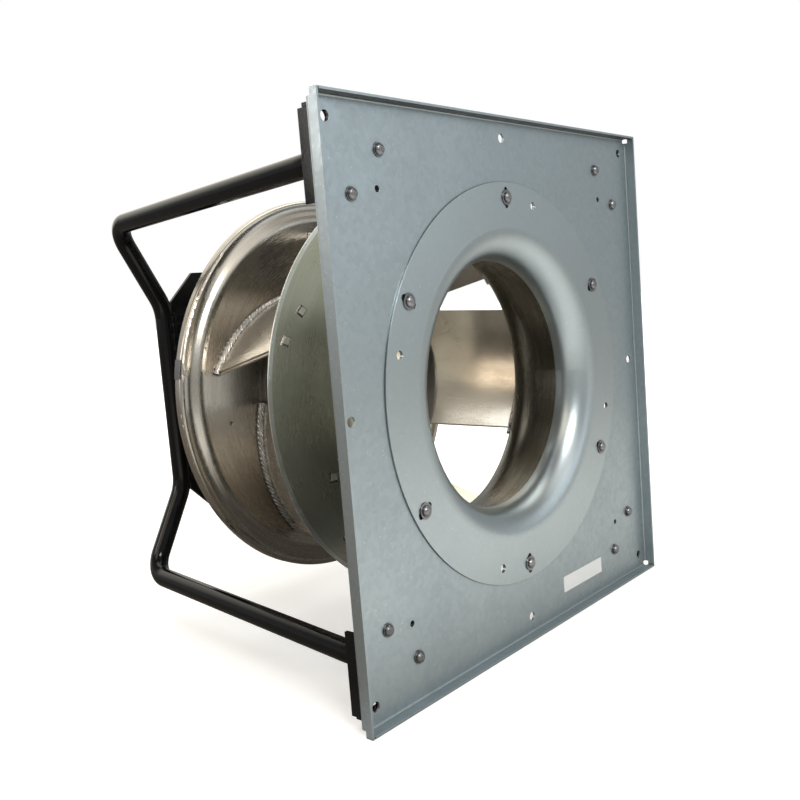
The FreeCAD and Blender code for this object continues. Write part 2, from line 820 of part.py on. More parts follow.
# A spring clip pushed over the lip of the disc to balance the impeller
def balance_clip():
    outer = disc_radius
    inner = outer - impeller_sheet
    mouth = disc_depth + disc_step + disc_lip
    corners = [
        (outer + clip_sheet, mouth - clip_grip),
        (outer + clip_sheet, mouth + clip_sheet),
        (inner - clip_sheet, mouth + clip_sheet),
        (inner - clip_sheet, mouth - clip_grip * 0.6),
    ]
    section = sheet_section(corners, [clip_bend_radius] * 2, clip_sheet)
    sweep = math.degrees(clip_length / outer)
    section.rotate(Vector(0, 0, 0), Vector(0, 1, 0), -(clip_angle - sweep / 2))
    return section.revolve(Vector(0, 0, 0), Vector(0, 1, 0), -sweep)


def hub_screw_places():
    step = full_turn / hub_screw_count
    return [on_circle(hub_screw_radius, step * (place + 0.5)) for place in range(hub_screw_count)]


def hub_fasteners():
    seat = disc_depth - rotor_flange_sheet
    length = rotor_flange_sheet + impeller_sheet + nut_height + thread_past_nut
    screw = pan_screw(screw_size, nut_width, head_height, length)
    nut = hexagon_nut(screw_size, nut_width, nut_height)
    return {
        "hub_screws": fasteners(screw, hub_screw_places(), seat),
        "hub_nuts": fasteners(nut, hub_screw_places(), disc_depth + impeller_sheet),
    }


# The rotor's cup, open to the rear, with the flange that carries the back disc and a boss for the shaft
def rotor_bell():
    front = rotor_front
    pocket = front + shaft_inset
    boss = bush_diameter / 2 - bearing_boss_gap
    boss_end = front_bearing - bearing_boss_gap
    bore = shaft_diameter / 2
    flange = rotor_flange_radius
    flange_front = disc_depth - rotor_flange_sheet
    corner = rotor_corner_radius
    bevel = corner * (1 - math.sqrt(0.5))
    rounding = ((rotor_radius - bevel, front + bevel), (rotor_radius, front + corner))
    recess = rotor_recess / 2
    recess_floor = front + rotor_recess_depth
    section = outline((0, recess_floor), (recess, recess_floor), (recess + rotor_recess_depth, front),
                      (rotor_radius - corner, front), rounding,
                      (rotor_radius, flange_front), (flange, flange_front),
                      (flange, disc_depth), (rotor_radius, disc_depth), (rotor_radius, rotor_rear),
                      (rotor_inside, rotor_rear), (rotor_inside, rotor_floor), (boss, rotor_floor),
                      (boss, boss_end), (bore, boss_end), (bore, pocket), (0, pocket))
    holes = [round_bar(x, z, screw_size, flange_front - 1, disc_depth + 1) for x, z in hub_screw_places()]
    tapped = round_bar(rotor_tapped_circle / 2, 0, screw_size, front - 1, front + rotor_tapped_depth)
    return turned(section).cut(holes + swung_copies(tapped, rotor_tapped_count))


def rotor_magnets():
    front = core_front - magnet_overlap
    back = core_back + magnet_overlap
    hoop = ring(rotor_inside - magnet_thickness, rotor_inside, front, back)
    gap = block((0, rotor_radius), (front - 1, back + 1), (-magnet_gap / 2, magnet_gap / 2))
    return Part.makeCompound(hoop.cut(swung_copies(gap, magnet_count)).Solids)


def shaft():
    radius = shaft_diameter / 2
    shoulder = radius + shaft_shoulder
    shoulder_front = front_bearing - bearing_boss_gap
    start = rotor_front + shaft_inset
    floor = radius - groove_depth
    groove_end = shaft_groove + groove_width
    section = outline((0, start), (radius, start), (radius, shoulder_front),
                      (shoulder, shoulder_front), (shoulder, front_bearing), (radius, front_bearing),
                      (radius, shaft_groove), (floor, shaft_groove), (floor, groove_end),
                      (radius, groove_end), (radius, shaft_rear), (0, shaft_rear))
    return turned(section)


def shaft_circlip():
    inner = shaft_diameter / 2 - groove_depth
    outer = inner + circlip_width
    end = shaft_groove + groove_width
    mouth = block((0, outer + 1), (shaft_groove - 1, end + 1), (-circlip_mouth / 2, circlip_mouth / 2))
    return ring(inner, outer, shaft_groove, end).cut(mouth)


# The three pieces of a deep groove ball bearing whose front face lies at a depth
def bearing(front):
    middle = front + bearing_width / 2
    pitch = bearing_pitch / 2
    ball = ball_diameter / 2
    groove = Part.makeTorus(pitch, ball + race_gap, Vector(0, middle, 0), Vector(0, 1, 0))
    half_cage = cage_sheet / 2
    reach = ball + cage_rim
    cage = ring(pitch - half_cage, pitch + half_cage, middle - reach, middle + reach)
    first_ball = Part.makeSphere(ball, Vector(pitch, middle, 0))
    land = half_cage + ring_gap
    outer_ring = ring(pitch + land, bearing_outer / 2, front, front + bearing_width).cut(groove)
    inner_ring = ring(shaft_diameter / 2, pitch - land, front, front + bearing_width).cut(groove)
    return outer_ring, inner_ring, cage.fuse(swung_copies(first_ball, ball_count))


def bearings():
    parts = {}
    for name, front in (("front", front_bearing), ("rear", rear_bearing)):
        outer_ring, inner_ring, balls = bearing(front)
        parts[name + "_bearing_outer"] = outer_ring
        parts[name + "_bearing_inner"] = inner_ring
        parts[name + "_bearing_balls"] = balls
    return parts


def preload_washer():
    outer = bearing_outer / 2
    return ring(outer - preload_width, outer, rear_bearing - preload_sheet, rear_bearing)


# The stator's bearing tube with the flange that closes the electronics housing
def stator_bush():
    seat = bearing_outer / 2
    bore = seat - bearing_ledge
    tube = bush_diameter / 2
    flange = bush_flange_radius
    end = housing_front
    shaft_room = shaft_rear + shaft_end_gap
    washer_front = rear_bearing - preload_sheet
    front_ledge = front_bearing + bearing_width
    section = outline((seat, front_bearing), (tube, front_bearing), (tube, bush_flange_front),
                      (flange, bush_flange_front), (flange, end), (0, end), (0, shaft_room),
                      (bore, shaft_room), (bore, shaft_groove), (seat, shaft_groove), (seat, washer_front),
                      (bore, washer_front), (bore, front_ledge), (seat, front_ledge))
    holes = [round_bar(x, z, bush_screw_size, bush_flange_front - 1, end + 1)
             for x, z in bush_screw_places()]
    return turned(section).cut(holes)


def bush_screw_places():
    step = full_turn / bush_screw_count
    return [on_circle(bush_screw_radius, step * place) for place in range(bush_screw_count)]


# The laminated core: a ring with slots between its teeth, each slot open at the air gap
def stator_core():
    tip = core_radius
    through = (core_front - 1, core_back + 1)
    slots = ring(slot_floor, tip - tooth_tip, *through)
    tooth = block((0, tip), (core_front - 2, core_back + 2), (-tooth_width / 2, tooth_width / 2))
    slots = slots.cut(swung_copies(tooth, slot_count))
    mouth = block((slot_floor + slot_mouth_depth, tip + 1), through, (-slot_mouth / 2, slot_mouth / 2))
    mouths = [swung(copy, full_turn / slot_count / 2) for copy in swung_copies(mouth, slot_count)]
    return ring(bush_diameter / 2, tip, core_front, core_back).cut([slots] + mouths)


def stator_windings():
    outer = core_radius - tooth_tip - coil_tip_gap
    half = tooth_width / 2 + coil_build
    coil = block((slot_floor + coil_floor_gap, outer), (coil_front, coil_back), (-half, half))
    long_edges = [edge for edge in coil.Edges if abs(edge.tangentAt(0).x) > 0.9]
    coil = coil.makeFillet(coil_corner_radius, long_edges)
    tooth = block((0, core_radius), (core_front, core_back), (-tooth_width / 2, tooth_width / 2))
    return Part.makeCompound(swung_copies(coil.cut(tooth), slot_count))


def stator_screws():
    length = bush_flange_sheet + bush_screw_grip
    screw = pan_screw(bush_screw_size, bush_screw_head, bush_screw_head_height, length)
    return fasteners(screw, bush_screw_places(), bush_flange_front)


# A finned pot with a closed back on the motor plate and a terminal chamber below
def electronics_housing():
    outer = housing_radius
    half = terminal_width / 2
    bottom = -terminal_drop
    fin_depth = (housing_front + fin_front_setback, housing_rear - fin_rear_setback)
    fin = block((outer - 1, outer + fin_reach), fin_depth, (-fin_sheet / 2, fin_sheet / 2))
    chamber_edge = math.degrees(math.asin(half / outer)) + full_turn / fin_count / 2
    fins = [copy for place, copy in enumerate(swung_copies(fin, fin_count))
            if abs(full_turn * place / fin_count - 270) > chamber_edge]
    chamber = block((-half, half), (terminal_front, terminal_rear), (bottom, -outer * 0.6))
    upright_edges = [edge for edge in chamber.Edges if abs(edge.tangentAt(0).z) > 0.9]
    chamber = chamber.makeFillet(terminal_corner_radius, upright_edges)
    spigot = ring(0, motor_plate_bore / 2 - spigot_gap, housing_rear - 1, housing_rear + spigot_height)
    solid = ring(0, outer, housing_front, housing_rear).fuse(fins + [chamber, spigot])
    hollow = ring(0, housing_inside, housing_front, housing_floor)
    inside = block((-half + housing_wall, half - housing_wall),
                   (terminal_front + housing_wall, terminal_rear - housing_wall), (bottom, -outer * 0.5))
    boss_end = housing_front + boss_depth
    bosses = [round_bar(x, z, boss_diameter, housing_front, boss_end) for x, z in bush_screw_places()]
    posts = upright_bars(cover_post, bottom, cover_post_height)
    solid = solid.cut([hollow, inside]).fuse(bosses + posts)
    thread_end = housing_front + bush_screw_grip
    cuts = [round_bar(x, z, bush_screw_size, housing_front - 1, thread_end) for x, z in bush_screw_places()]
    cuts += [round_bar(x, z, motor_screw_size, housing_floor, housing_rear) for x, z in motor_screw_places()]
    cuts += upright_bars(cover_screw_size, bottom, cover_screw_grip + 2)
    way_in = Vector(-1, 0, 0)
    cuts += [Part.makeCylinder(gland_diameter / 2, gland_diameter, Vector(half + 5, y, z), way_in)
             for y, z in gland_places()]
    return solid.cut(cuts)


# Upright round bars over the places of the cover screws
def upright_bars(diameter, bottom, height):
    bar = Part.makeCylinder(diameter / 2, height)
    return [moved(bar, x, y, bottom) for x, y in cover_screw_places()]


def cover_screw_places():
    x = terminal_width / 2 - cover_screw_inset
    reach = terminal_length / 2 - cover_screw_inset
    return [(side * x, terminal_middle + end * reach) for side in (-1, 1) for end in (-1, 1)]


def gland_places():
    level = -terminal_drop + gland_above_cover
    return [(terminal_middle + side * gland_spacing / 2, level) for side in (-1, 1)]


def rounded_lid(sheet, top):
    half = terminal_width / 2
    lid = block((-half, half), (terminal_front, terminal_rear), (top - sheet, top))
    upright_edges = [edge for edge in lid.Edges if abs(edge.tangentAt(0).z) > 0.9]
    return lid.makeFillet(terminal_corner_radius, upright_edges)


def terminal_cover():
    top = -terminal_drop - gasket_sheet
    holes = upright_bars(cover_screw_size, top - cover_sheet - 1, cover_sheet + 2)
    return rounded_lid(cover_sheet, top).cut(holes)


def cover_gasket():
    top = -terminal_drop
    margin = housing_wall + gasket_width
    half = terminal_width / 2 - margin
    depth = (terminal_front + margin, terminal_rear - margin)
    opening = block((-half, half), depth, (top - gasket_sheet, top))
    holes = upright_bars(cover_screw_size, top - gasket_sheet - 1, gasket_sheet + 2)
    return rounded_lid(gasket_sheet, top).cut([opening] + holes)


def cover_screws():
    length = cover_sheet + gasket_sheet + cover_screw_grip
    screw = pan_screw(cover_screw_size, cover_screw_head, cover_screw_head_height, length)
    screw.rotate(Vector(0, 0, 0), Vector(1, 0, 0), 90)
    seat = -terminal_drop - gasket_sheet - cover_sheet
    return Part.makeCompound([moved(screw, x, y, seat) for x, y in cover_screw_places()])


# Two glands for the supply and control leads, turned from the side of the terminal chamber
def cable_glands():
    bore = gland_bore / 2
    radius = gland_diameter / 2
    collar = radius + gland_collar
    inner_end = -housing_wall - 3
    crown = ((radius + 0.5, gland_length - 1), (radius - 3, gland_length))
    section = outline((bore, inner_end), (radius, inner_end), (radius, 0), (collar, 0), (collar, 5),
                      (radius + 1, 6), (collar, 8), (collar, gland_length - 5), crown, (bore, gland_length))
    gland = turned(section)
    gland.rotate(Vector(0, 0, 0), Vector(0, 0, 1), -90)
    return Part.makeCompound([moved(gland, terminal_width / 2, y, z) for y, z in gland_places()])


# The round board, notched at the bottom where the leads pass to the terminal block
def circuit_board():
    board = ring(0, housing_inside - board_gap, board_front, board_front + board_sheet)
    half = terminal_width / 2 - board_notch_margin
    notch_top = board_notch_height - housing_radius
    return board.cut(block((-half, half), (housing_front, housing_rear), (-housing_radius, notch_top)))


def capacitors():
    can = round_bar(0, 0, capacitor_diameter, -capacitor_height, 0)
    can = can.makeFillet(2, [can.Edges[0], can.Edges[-1]])
    first = -(capacitor_count - 1) / 2
    places = [(capacitor_spacing * (first + place), capacitor_row) for place in range(capacitor_count)]
    return fasteners(can, places, board_front)


# A row of screwed ways on a rail between the walls of the terminal chamber
def terminal_block():
    foot = -terminal_drop + block_above_cover
    top = foot + block_height
    half = block_width / 2
    reach = block_length / 2
    body = block((-half, half), (terminal_middle - reach, terminal_middle + reach), (foot, top))
    first = -way_pitch * (way_count - 1) / 2
    way = Part.makeCylinder(way_diameter / 2, block_height / 3)
    ways = [moved(way, first + way_pitch * place, terminal_middle, foot) for place in range(way_count)]
    span = terminal_width / 2 - housing_wall
    depth = (terminal_middle - rail_width / 2, terminal_middle + rail_width / 2)
    return body.cut(ways).fuse(block((-span, span), depth, (top, top + rail_sheet)))


def impeller_parts():
    shroud = plain_shroud()
    disc = plain_disc()
    first_blade = blade(shroud, disc)
    parts = {"front_shroud": front_shroud(shroud), "back_disc": back_disc(disc)}
    for place, copy in enumerate(swung_copies(first_blade, blade_count)):
        parts["blade_" + str(place + 1)] = copy
    parts["blade_root_welds"] = Part.makeCompound(swung_copies(root_bead(first_blade), blade_count))
    parts["blade_tip_welds"] = Part.makeCompound(swung_copies(tip_bead(first_blade, shroud), blade_count))
    parts["balance_clip"] = balance_clip()
    return parts


def frame_parts():
    left_tube = frame_tube()
    right_tube = mirrored(left_tube, Vector(1, 0, 0))
    plate = motor_plate()
    return {
        "left_frame_tube": left_tube,
        "right_frame_tube": right_tube,
        "motor_plate": plate,
        "frame_welds": frame_welds([left_tube, right_tube], plate),
    }


def motor_parts():
    return {
        "rotor_bell": rotor_bell(),
        "rotor_magnets": rotor_magnets(),
        "shaft": shaft(),
        "shaft_circlip": shaft_circlip(),
        "preload_washer": preload_washer(),
        "stator_bush": stator_bush(),
        "stator_core": stator_core(),
        "stator_windings": stator_windings(),
        "stator_screws": stator_screws(),
        "electronics_housing": electronics_housing(),
        "terminal_cover": terminal_cover(),
        "cover_gasket": cover_gasket(),
        "cover_screws": cover_screws(),
        "cable_glands": cable_glands(),
        "circuit_board": circuit_board(),
        "capacitors": capacitors(),
        "terminal_block": terminal_block(),
    }


def fan_parts():
    parts = {"support_plate": support_plate(), "inlet_nozzle": inlet_nozzle()}
    groups = (nozzle_fasteners, corner_brackets, bracket_fasteners, frame_parts, motor_fasteners,
              motor_parts, bearings, hub_fasteners, impeller_parts)
    for group in groups:
        parts.update(group())
    return parts


os.makedirs("parts", exist_ok=True)
for name, shape in fan_parts().items():
    shape.exportStep("parts/" + name + ".step")
    print(name, len(shape.Solids), "solids, valid" if shape.isValid() else "solids, NOT VALID")
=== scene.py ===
import json
import math

import bmesh
import bpy
from mathutils import Matrix, Vector, noise


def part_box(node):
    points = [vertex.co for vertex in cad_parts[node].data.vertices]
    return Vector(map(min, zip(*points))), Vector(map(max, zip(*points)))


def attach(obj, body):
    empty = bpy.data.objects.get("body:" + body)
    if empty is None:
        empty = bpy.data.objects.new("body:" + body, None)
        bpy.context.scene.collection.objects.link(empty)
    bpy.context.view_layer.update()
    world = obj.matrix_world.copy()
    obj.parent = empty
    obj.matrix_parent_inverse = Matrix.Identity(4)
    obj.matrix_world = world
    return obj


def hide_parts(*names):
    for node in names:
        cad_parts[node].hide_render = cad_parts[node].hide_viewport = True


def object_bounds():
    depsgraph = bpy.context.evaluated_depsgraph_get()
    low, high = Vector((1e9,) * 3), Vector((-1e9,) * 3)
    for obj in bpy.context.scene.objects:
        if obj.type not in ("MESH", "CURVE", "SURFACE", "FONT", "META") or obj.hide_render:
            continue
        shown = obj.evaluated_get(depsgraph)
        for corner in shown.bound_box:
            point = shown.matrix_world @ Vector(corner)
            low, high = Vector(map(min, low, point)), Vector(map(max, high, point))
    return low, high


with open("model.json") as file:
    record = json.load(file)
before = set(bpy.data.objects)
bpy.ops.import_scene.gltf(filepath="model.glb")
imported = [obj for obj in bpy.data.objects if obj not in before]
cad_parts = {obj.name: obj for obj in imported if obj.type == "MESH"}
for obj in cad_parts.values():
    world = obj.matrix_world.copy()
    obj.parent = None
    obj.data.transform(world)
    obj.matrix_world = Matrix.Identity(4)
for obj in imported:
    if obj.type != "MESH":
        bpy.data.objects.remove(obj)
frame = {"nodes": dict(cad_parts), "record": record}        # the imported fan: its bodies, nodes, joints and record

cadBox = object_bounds()
nodes = frame["nodes"]

black = (0, 0, 0, 1)
white = (1, 1, 1, 1)


# Shader building: a node, its settings, and its inputs fed with values or sockets
def addNode(tree, kind, inputs=None, **settings):
    node = tree.nodes.new("ShaderNode" + kind)
    for name, value in settings.items():
        setattr(node, name, value)
    for name, value in (inputs or {}).items():
        if isinstance(value, bpy.types.NodeSocket):
            tree.links.new(value, node.inputs[name])
        else:
            node.inputs[name].default_value = value
    return node


def calc(tree, operation, *values):
    inputs = dict(enumerate(values))
    return addNode(tree, "Math", inputs, operation=operation).outputs[0]


def times(tree, first, second):
    return calc(tree, "MULTIPLY", first, second)


# Two values added in the given shares
def weighed(tree, first, firstShare, second, secondShare):
    return calc(tree, "ADD", times(tree, first, firstShare), times(tree, second, secondShare))


def remap(tree, value, low, high, newLow=0.0, newHigh=1.0, curve="LINEAR"):
    inputs = {
        "Value": value,
        "From Min": low,
        "From Max": high,
        "To Min": newLow,
        "To Max": newHigh,
    }
    return addNode(tree, "MapRange", inputs, interpolation_type=curve).outputs[0]


def blendColour(tree, factor, first, second, mode="MIX"):
    inputs = {0: factor, 6: first, 7: second}
    return addNode(tree, "Mix", inputs, data_type="RGBA", blend_type=mode).outputs[2]


def vectorCalc(tree, operation, first, second):
    return addNode(tree, "VectorMath", {0: first, 1: second}, operation=operation).outputs


def scaled(tree, vector, scale):
    inputs = {0: vector, "Scale": scale}
    return addNode(tree, "VectorMath", inputs, operation="SCALE").outputs[0]


def parts(tree, vector):
    return addNode(tree, "SeparateXYZ", {0: vector}).outputs


def firstPart(tree, colour):
    return addNode(tree, "SeparateColor", {0: colour}).outputs[0]


def coordinates(tree, kind="Object"):
    return addNode(tree, "TexCoord").outputs[kind]


def useGroup(tree, group, inputs=None):
    return addNode(tree, "Group", inputs, node_tree=group).outputs


def newGroup(name, inputs, outputs):
    group = bpy.data.node_groups.new(name, "ShaderNodeTree")
    for label, value in inputs.items():
        socket = group.interface.new_socket(label, in_out="INPUT", socket_type="NodeSocketFloat")
        socket.default_value = value
    for label, kind in outputs.items():
        group.interface.new_socket(label, in_out="OUTPUT", socket_type="NodeSocket" + kind)
    return group, group.nodes.new("NodeGroupInput").outputs, group.nodes.new("NodeGroupOutput")


def giveOut(group, end, **values):
    for label, value in values.items():
        group.links.new(value, end.inputs[label])


# A noise setting is its scale, its detail and its roughness
def noiseAt(tree, vector, scale, detail=3.0, roughness=0.55):
    inputs = {"Vector": vector, "Scale": scale, "Detail": detail, "Roughness": roughness}
    return addNode(tree, "TexNoise", inputs).outputs[0]


def noiseVector(tree, vector, scale, amount):
    inputs = {"Vector": vector, "Scale": scale, "Detail": 1.0}
    colour = addNode(tree, "TexNoise", inputs).outputs["Color"]
    centred = vectorCalc(tree, "SUBTRACT", colour, (0.5, 0.5, 0.5))[0]
    return scaled(tree, centred, amount)


def stretched(tree, vector, scale, turn=0.0):
    inputs = {"Vector": vector, "Rotation": (0.0, turn, 0.0)}
    turned = addNode(tree, "VectorRotate", inputs, rotation_type="EULER_XYZ").outputs[0]
    return vectorCalc(tree, "MULTIPLY", turned, scale)[0]


# Effects that several finishes share, each with its own settings above it

turnedLook = {"runRadius": 0.2, "leastRadius": 0.001, "inwardLean": (0.0, -0.25)}


# Coordinates round the fan's axis: radius, run round the axis, depth
def buildTurnedSpace(look):
    outputs = {"Place": "Vector", "Radius": "Float", "Inward": "Float"}
    group, start, end = newGroup("turnedSpace", {}, outputs)

    # The dot product of two vectors as seen along the axis
    def flatDot(first, second):
        across, up = times(group, first[0], second[0]), times(group, first[2], second[2])
        return calc(group, "ADD", across, up)

    spot = parts(group, coordinates(group))
    radius = calc(group, "SQRT", flatDot(spot, spot))
    run = times(group, calc(group, "ARCTAN2", spot[2], spot[0]), look["runRadius"])
    whole = addNode(group, "CombineXYZ", {0: radius, 1: run, 2: spot[1]}).outputs[0]
    facing = parts(group, coordinates(group, "Normal"))
    leastRadius = calc(group, "MAXIMUM", radius, look["leastRadius"])
    lean = calc(group, "DIVIDE", flatDot(spot, facing), leastRadius)
    inward = remap(group, lean, *look["inwardLean"])
    giveOut(group, end, Place=whole, Radius=radius, Inward=inward)
    return group


spangleLook = {
    "bendScale": 90.0,
    "bend": 0.004,
    "cellShare": 0.85,
    "fineNoise": (900.0, 2.0),
    "fineShare": 0.15,
}


# Zinc crystals: soft patches a few millimetres wide, each with its own shade
def buildZincSpangle(look):
    outputs = {"Shade": "Float", "Height": "Float"}
    group, start, end = newGroup("zincSpangle", {"Scale": 160.0}, outputs)
    spot = coordinates(group)
    bend = noiseVector(group, spot, look["bendScale"], look["bend"])
    inputs = {"Vector": vectorCalc(group, "ADD", spot, bend)[0], "Scale": start["Scale"]}
    cells = addNode(group, "TexVoronoi", inputs, feature="F1").outputs
    cellShade = firstPart(group, cells["Color"])
    fine = noiseAt(group, spot, *look["fineNoise"])
    shade = weighed(group, cellShade, look["cellShare"], fine, look["fineShare"])
    giveOut(group, end, Shade=shade, Height=fine)
    return group


markLook = {"smudgeNoise": (4.0, 0.6), "smudge": (0.3, 0.72), "dot": (0.28, 0.14)}


# Marks of handling: broad smudges, and small specks
def buildHandlingMarks(look):
    inputs = {"Smudge Scale": 9.0, "Speck Scale": 260.0, "Speck Share": 0.2}
    group, start, end = newGroup("handlingMarks", inputs, {"Smudge": "Float", "Specks": "Float"})
    spot = coordinates(group)
    smudge = noiseAt(group, spot, start["Smudge Scale"], *look["smudgeNoise"])
    smudge = remap(group, smudge, *look["smudge"])
    inputs = {"Vector": spot, "Scale": start["Speck Scale"]}
    cells = addNode(group, "TexVoronoi", inputs, feature="F1").outputs
    chosen = calc(group, "LESS_THAN", firstPart(group, cells["Color"]), start["Speck Share"])
    dots = remap(group, cells["Distance"], *look["dot"])
    giveOut(group, end, Smudge=smudge, Specks=times(group, chosen, dots))
    return group


scratchLook = {
    "turnsAndShifts": ((0.6, 0.0), (-0.9, 3.1), (1.7, 7.7)),
    "stretch": (1250.0, 1250.0, 24.0),
    "lineNoise": (1.0, 1.0),
    "thin": (0.79, 0.82),
    "patchNoise": (9.0, 1.0),
    "patch": (0.5, 0.62),
}


# Thin scratches in three directions, broken up into groups
def buildFineScratches(look):
    inputs = {"Scale": 1.0, "Amount": 0.5}
    group, start, end = newGroup("fineScratches", inputs, {"Mask": "Float"})
    sized = scaled(group, coordinates(group), start["Scale"])
    total = None
    for turn, shift in look["turnsAndShifts"]:
        moved = vectorCalc(group, "ADD", sized, (shift, shift, shift))[0]
        drawn = stretched(group, moved, look["stretch"], turn)
        thin = remap(group, noiseAt(group, drawn, *look["lineNoise"]), *look["thin"])
        patch = remap(group, noiseAt(group, moved, *look["patchNoise"]), *look["patch"])
        one = times(group, thin, patch)
        total = one if total is None else calc(group, "MAXIMUM", total, one)
    giveOut(group, end, Mask=times(group, total, start["Amount"]))
    return group


wearLook = {
    "samples": 4,
    "lean": (0.995, 0.86),
    "breakNoise": (140.0, 4.0, 0.7),
    "broken": (0.34, 0.62),
}


# Wear along edges, from how far a rounded normal leans away from the true one
def buildWornEdges(look):
    inputs = {"Radius": 0.0012, "Amount": 0.8}
    group, start, end = newGroup("wornEdges", inputs, {"Mask": "Float"})
    inputs = {"Radius": start["Radius"]}
    rounded = addNode(group, "Bevel", inputs, samples=look["samples"]).outputs[0]
    actual = addNode(group, "NewGeometry").outputs["Normal"]
    agree = vectorCalc(group, "DOT_PRODUCT", rounded, actual)["Value"]
    edge = remap(group, agree, *look["lean"])
    broken = remap(group, noiseAt(group, coordinates(group), *look["breakNoise"]), *look["broken"])
    giveOut(group, end, Mask=times(group, times(group, edge, broken), start["Amount"]))
    return group


creviceShadeLook = {"samples": 4, "openness": (0.80, 0.35)}


# Painted shade, with some dirt, in narrow gaps, corners and recesses, where ambient occlusion finds them less open
def buildCreviceShade(look):
    inputs = {"Reach": 0.004, "Amount": 0.8}
    group, start, end = newGroup("creviceShade", inputs, {"Mask": "Float"})
    inputs = {"Distance": start["Reach"]}
    openness = addNode(group, "AmbientOcclusion", inputs, samples=look["samples"]).outputs["AO"]
    deep = remap(group, openness, *look["openness"])
    giveOut(group, end, Mask=times(group, deep, start["Amount"]))
    return group


# Rings left by spinning and brushing round the axis
ringLook = {
    "name": "spunRings",
    "fineness": 900.0,
    "fineStretch": (1.0, 0.014, 1.0),
    "fineNoise": (2.0, 0.6),
    "fineShare": 0.6,
    "broadStretch": (1.0, 0.05, 1.0),
    "broadNoise": (90.0, 3.0, 0.6),
    "broadShare": 0.4,
}

# Grain of rolled sheet, in lines along the fan's axis
rolledLook = {
    "name": "rolledGrain",
    "fineness": 700.0,
    "fineStretch": (1.0, 1.0, 0.012),
    "fineNoise": (2.0, 0.6),
    "fineShare": 0.5,
    "broadStretch": (1.0, 1.0, 0.12),
    "broadNoise": (45.0, 3.0, 0.6),
    "broadShare": 0.5,
}


def buildLines(look, turnedSpace):
    outputs = {"Shade": "Float", "Height": "Float"}
    group, start, end = newGroup(look["name"], {"Fineness": look["fineness"]}, outputs)
    where = useGroup(group, turnedSpace)["Place"]
    narrow = stretched(group, where, look["fineStretch"])
    fine = noiseAt(group, narrow, start["Fineness"], *look["fineNoise"])
    broad = noiseAt(group, stretched(group, where, look["broadStretch"]), *look["broadNoise"])
    shade = weighed(group, fine, look["fineShare"], broad, look["broadShare"])
    giveOut(group, end, Shade=shade, Height=fine)
    return group


skinLook = {"wobbleNoise": (260.0, 2.0), "wobble": 0.0016, "sootNoise": (120.0, 4.0, 0.65)}


# Soot on a weld, and the bead's own fine ripple
def buildWeldSkin(look, turnedSpace):
    outputs = {"Soot": "Float", "Height": "Float"}
    group, start, end = newGroup("weldSkin", {"Ripple": 2400.0}, outputs)
    spot = coordinates(group)
    radius = useGroup(group, turnedSpace)["Radius"]
    wobble = times(group, noiseAt(group, spot, *look["wobbleNoise"]), look["wobble"])
    phase = times(group, calc(group, "ADD", radius, wobble), start["Ripple"])
    soot = noiseAt(group, spot, *look["sootNoise"])
    giveOut(group, end, Soot=soot, Height=calc(group, "SINE", phase))
    return group


grainLook = {"fineNoise": (3.0, 0.7), "broadNoise": (38.0, 4.0, 0.6)}


# Fine even grain of castings, rubber and moulded plastic
def buildFineGrain(look):
    outputs = {"Shade": "Float", "Height": "Float"}
    group, start, end = newGroup("fineGrain", {"Scale": 1500.0}, outputs)
    spot = coordinates(group)
    fine = noiseAt(group, spot, start["Scale"], *look["fineNoise"])
    broad = noiseAt(group, spot, *look["broadNoise"])
    giveOut(group, end, Shade=broad, Height=fine)
    return group


turnedSpace = buildTurnedSpace(turnedLook)
zincSpangle = buildZincSpangle(spangleLook)
handlingMarks = buildHandlingMarks(markLook)
fineScratches = buildFineScratches(scratchLook)
wornEdges = buildWornEdges(wearLook)
creviceShade = buildCreviceShade(creviceShadeLook)
spunRings = buildLines(ringLook, turnedSpace)
rolledGrain = buildLines(rolledLook, turnedSpace)
weldSkin = buildWeldSkin(skinLook, turnedSpace)
fineGrain = buildFineGrain(grainLook)
print("shared effects built:", len(bpy.data.node_groups))


# Finishes. In a look, marks, scratches, wear and dirt with painted shade are fed to the shared effects for them,
# a pair gives a range, and "rough" runs from the dark shade's roughness to the light one's
def newFinish(name, constants):
    material = bpy.data.materials.new(name)
    material.use_nodes = True
    shader = material.node_tree.nodes["Principled BSDF"]
    for label, value in constants.items():
        shader.inputs[label].default_value = value
    return material, material.node_tree, shader


def link(tree, value, shader, label):
    tree.links.new(value, shader.inputs[label])


# Near-black for painted shade and dirt in narrow gaps and recesses
grimeColour = (0.008, 0.007, 0.006, 1)
bumpSamples = 4


# The colour that shows on worn edges, then painted shade with some dirt in narrow gaps and recesses
def wearAndGrime(tree, colour, look):
    worn = useGroup(tree, wornEdges, look["wear"])["Mask"]
    colour = blendColour(tree, worn, colour, look["edge"])
    grime = useGroup(tree, creviceShade, look["grime"])["Mask"]
    return blendColour(tree, grime, colour, grimeColour)


# A bump over normals that round the sheet's sharp edges a little
def roundedBump(tree, shader, height, bump):
    rounded = addNode(tree, "Bevel", {"Radius": bump["edge"]}, samples=bumpSamples).outputs[0]
    inputs = {
        "Height": height,
        "Distance": bump["depth"],
        "Strength": bump["strength"],
        "Normal": rounded,
    }
    link(tree, addNode(tree, "Bump", inputs).outputs[0], shader, "Normal")


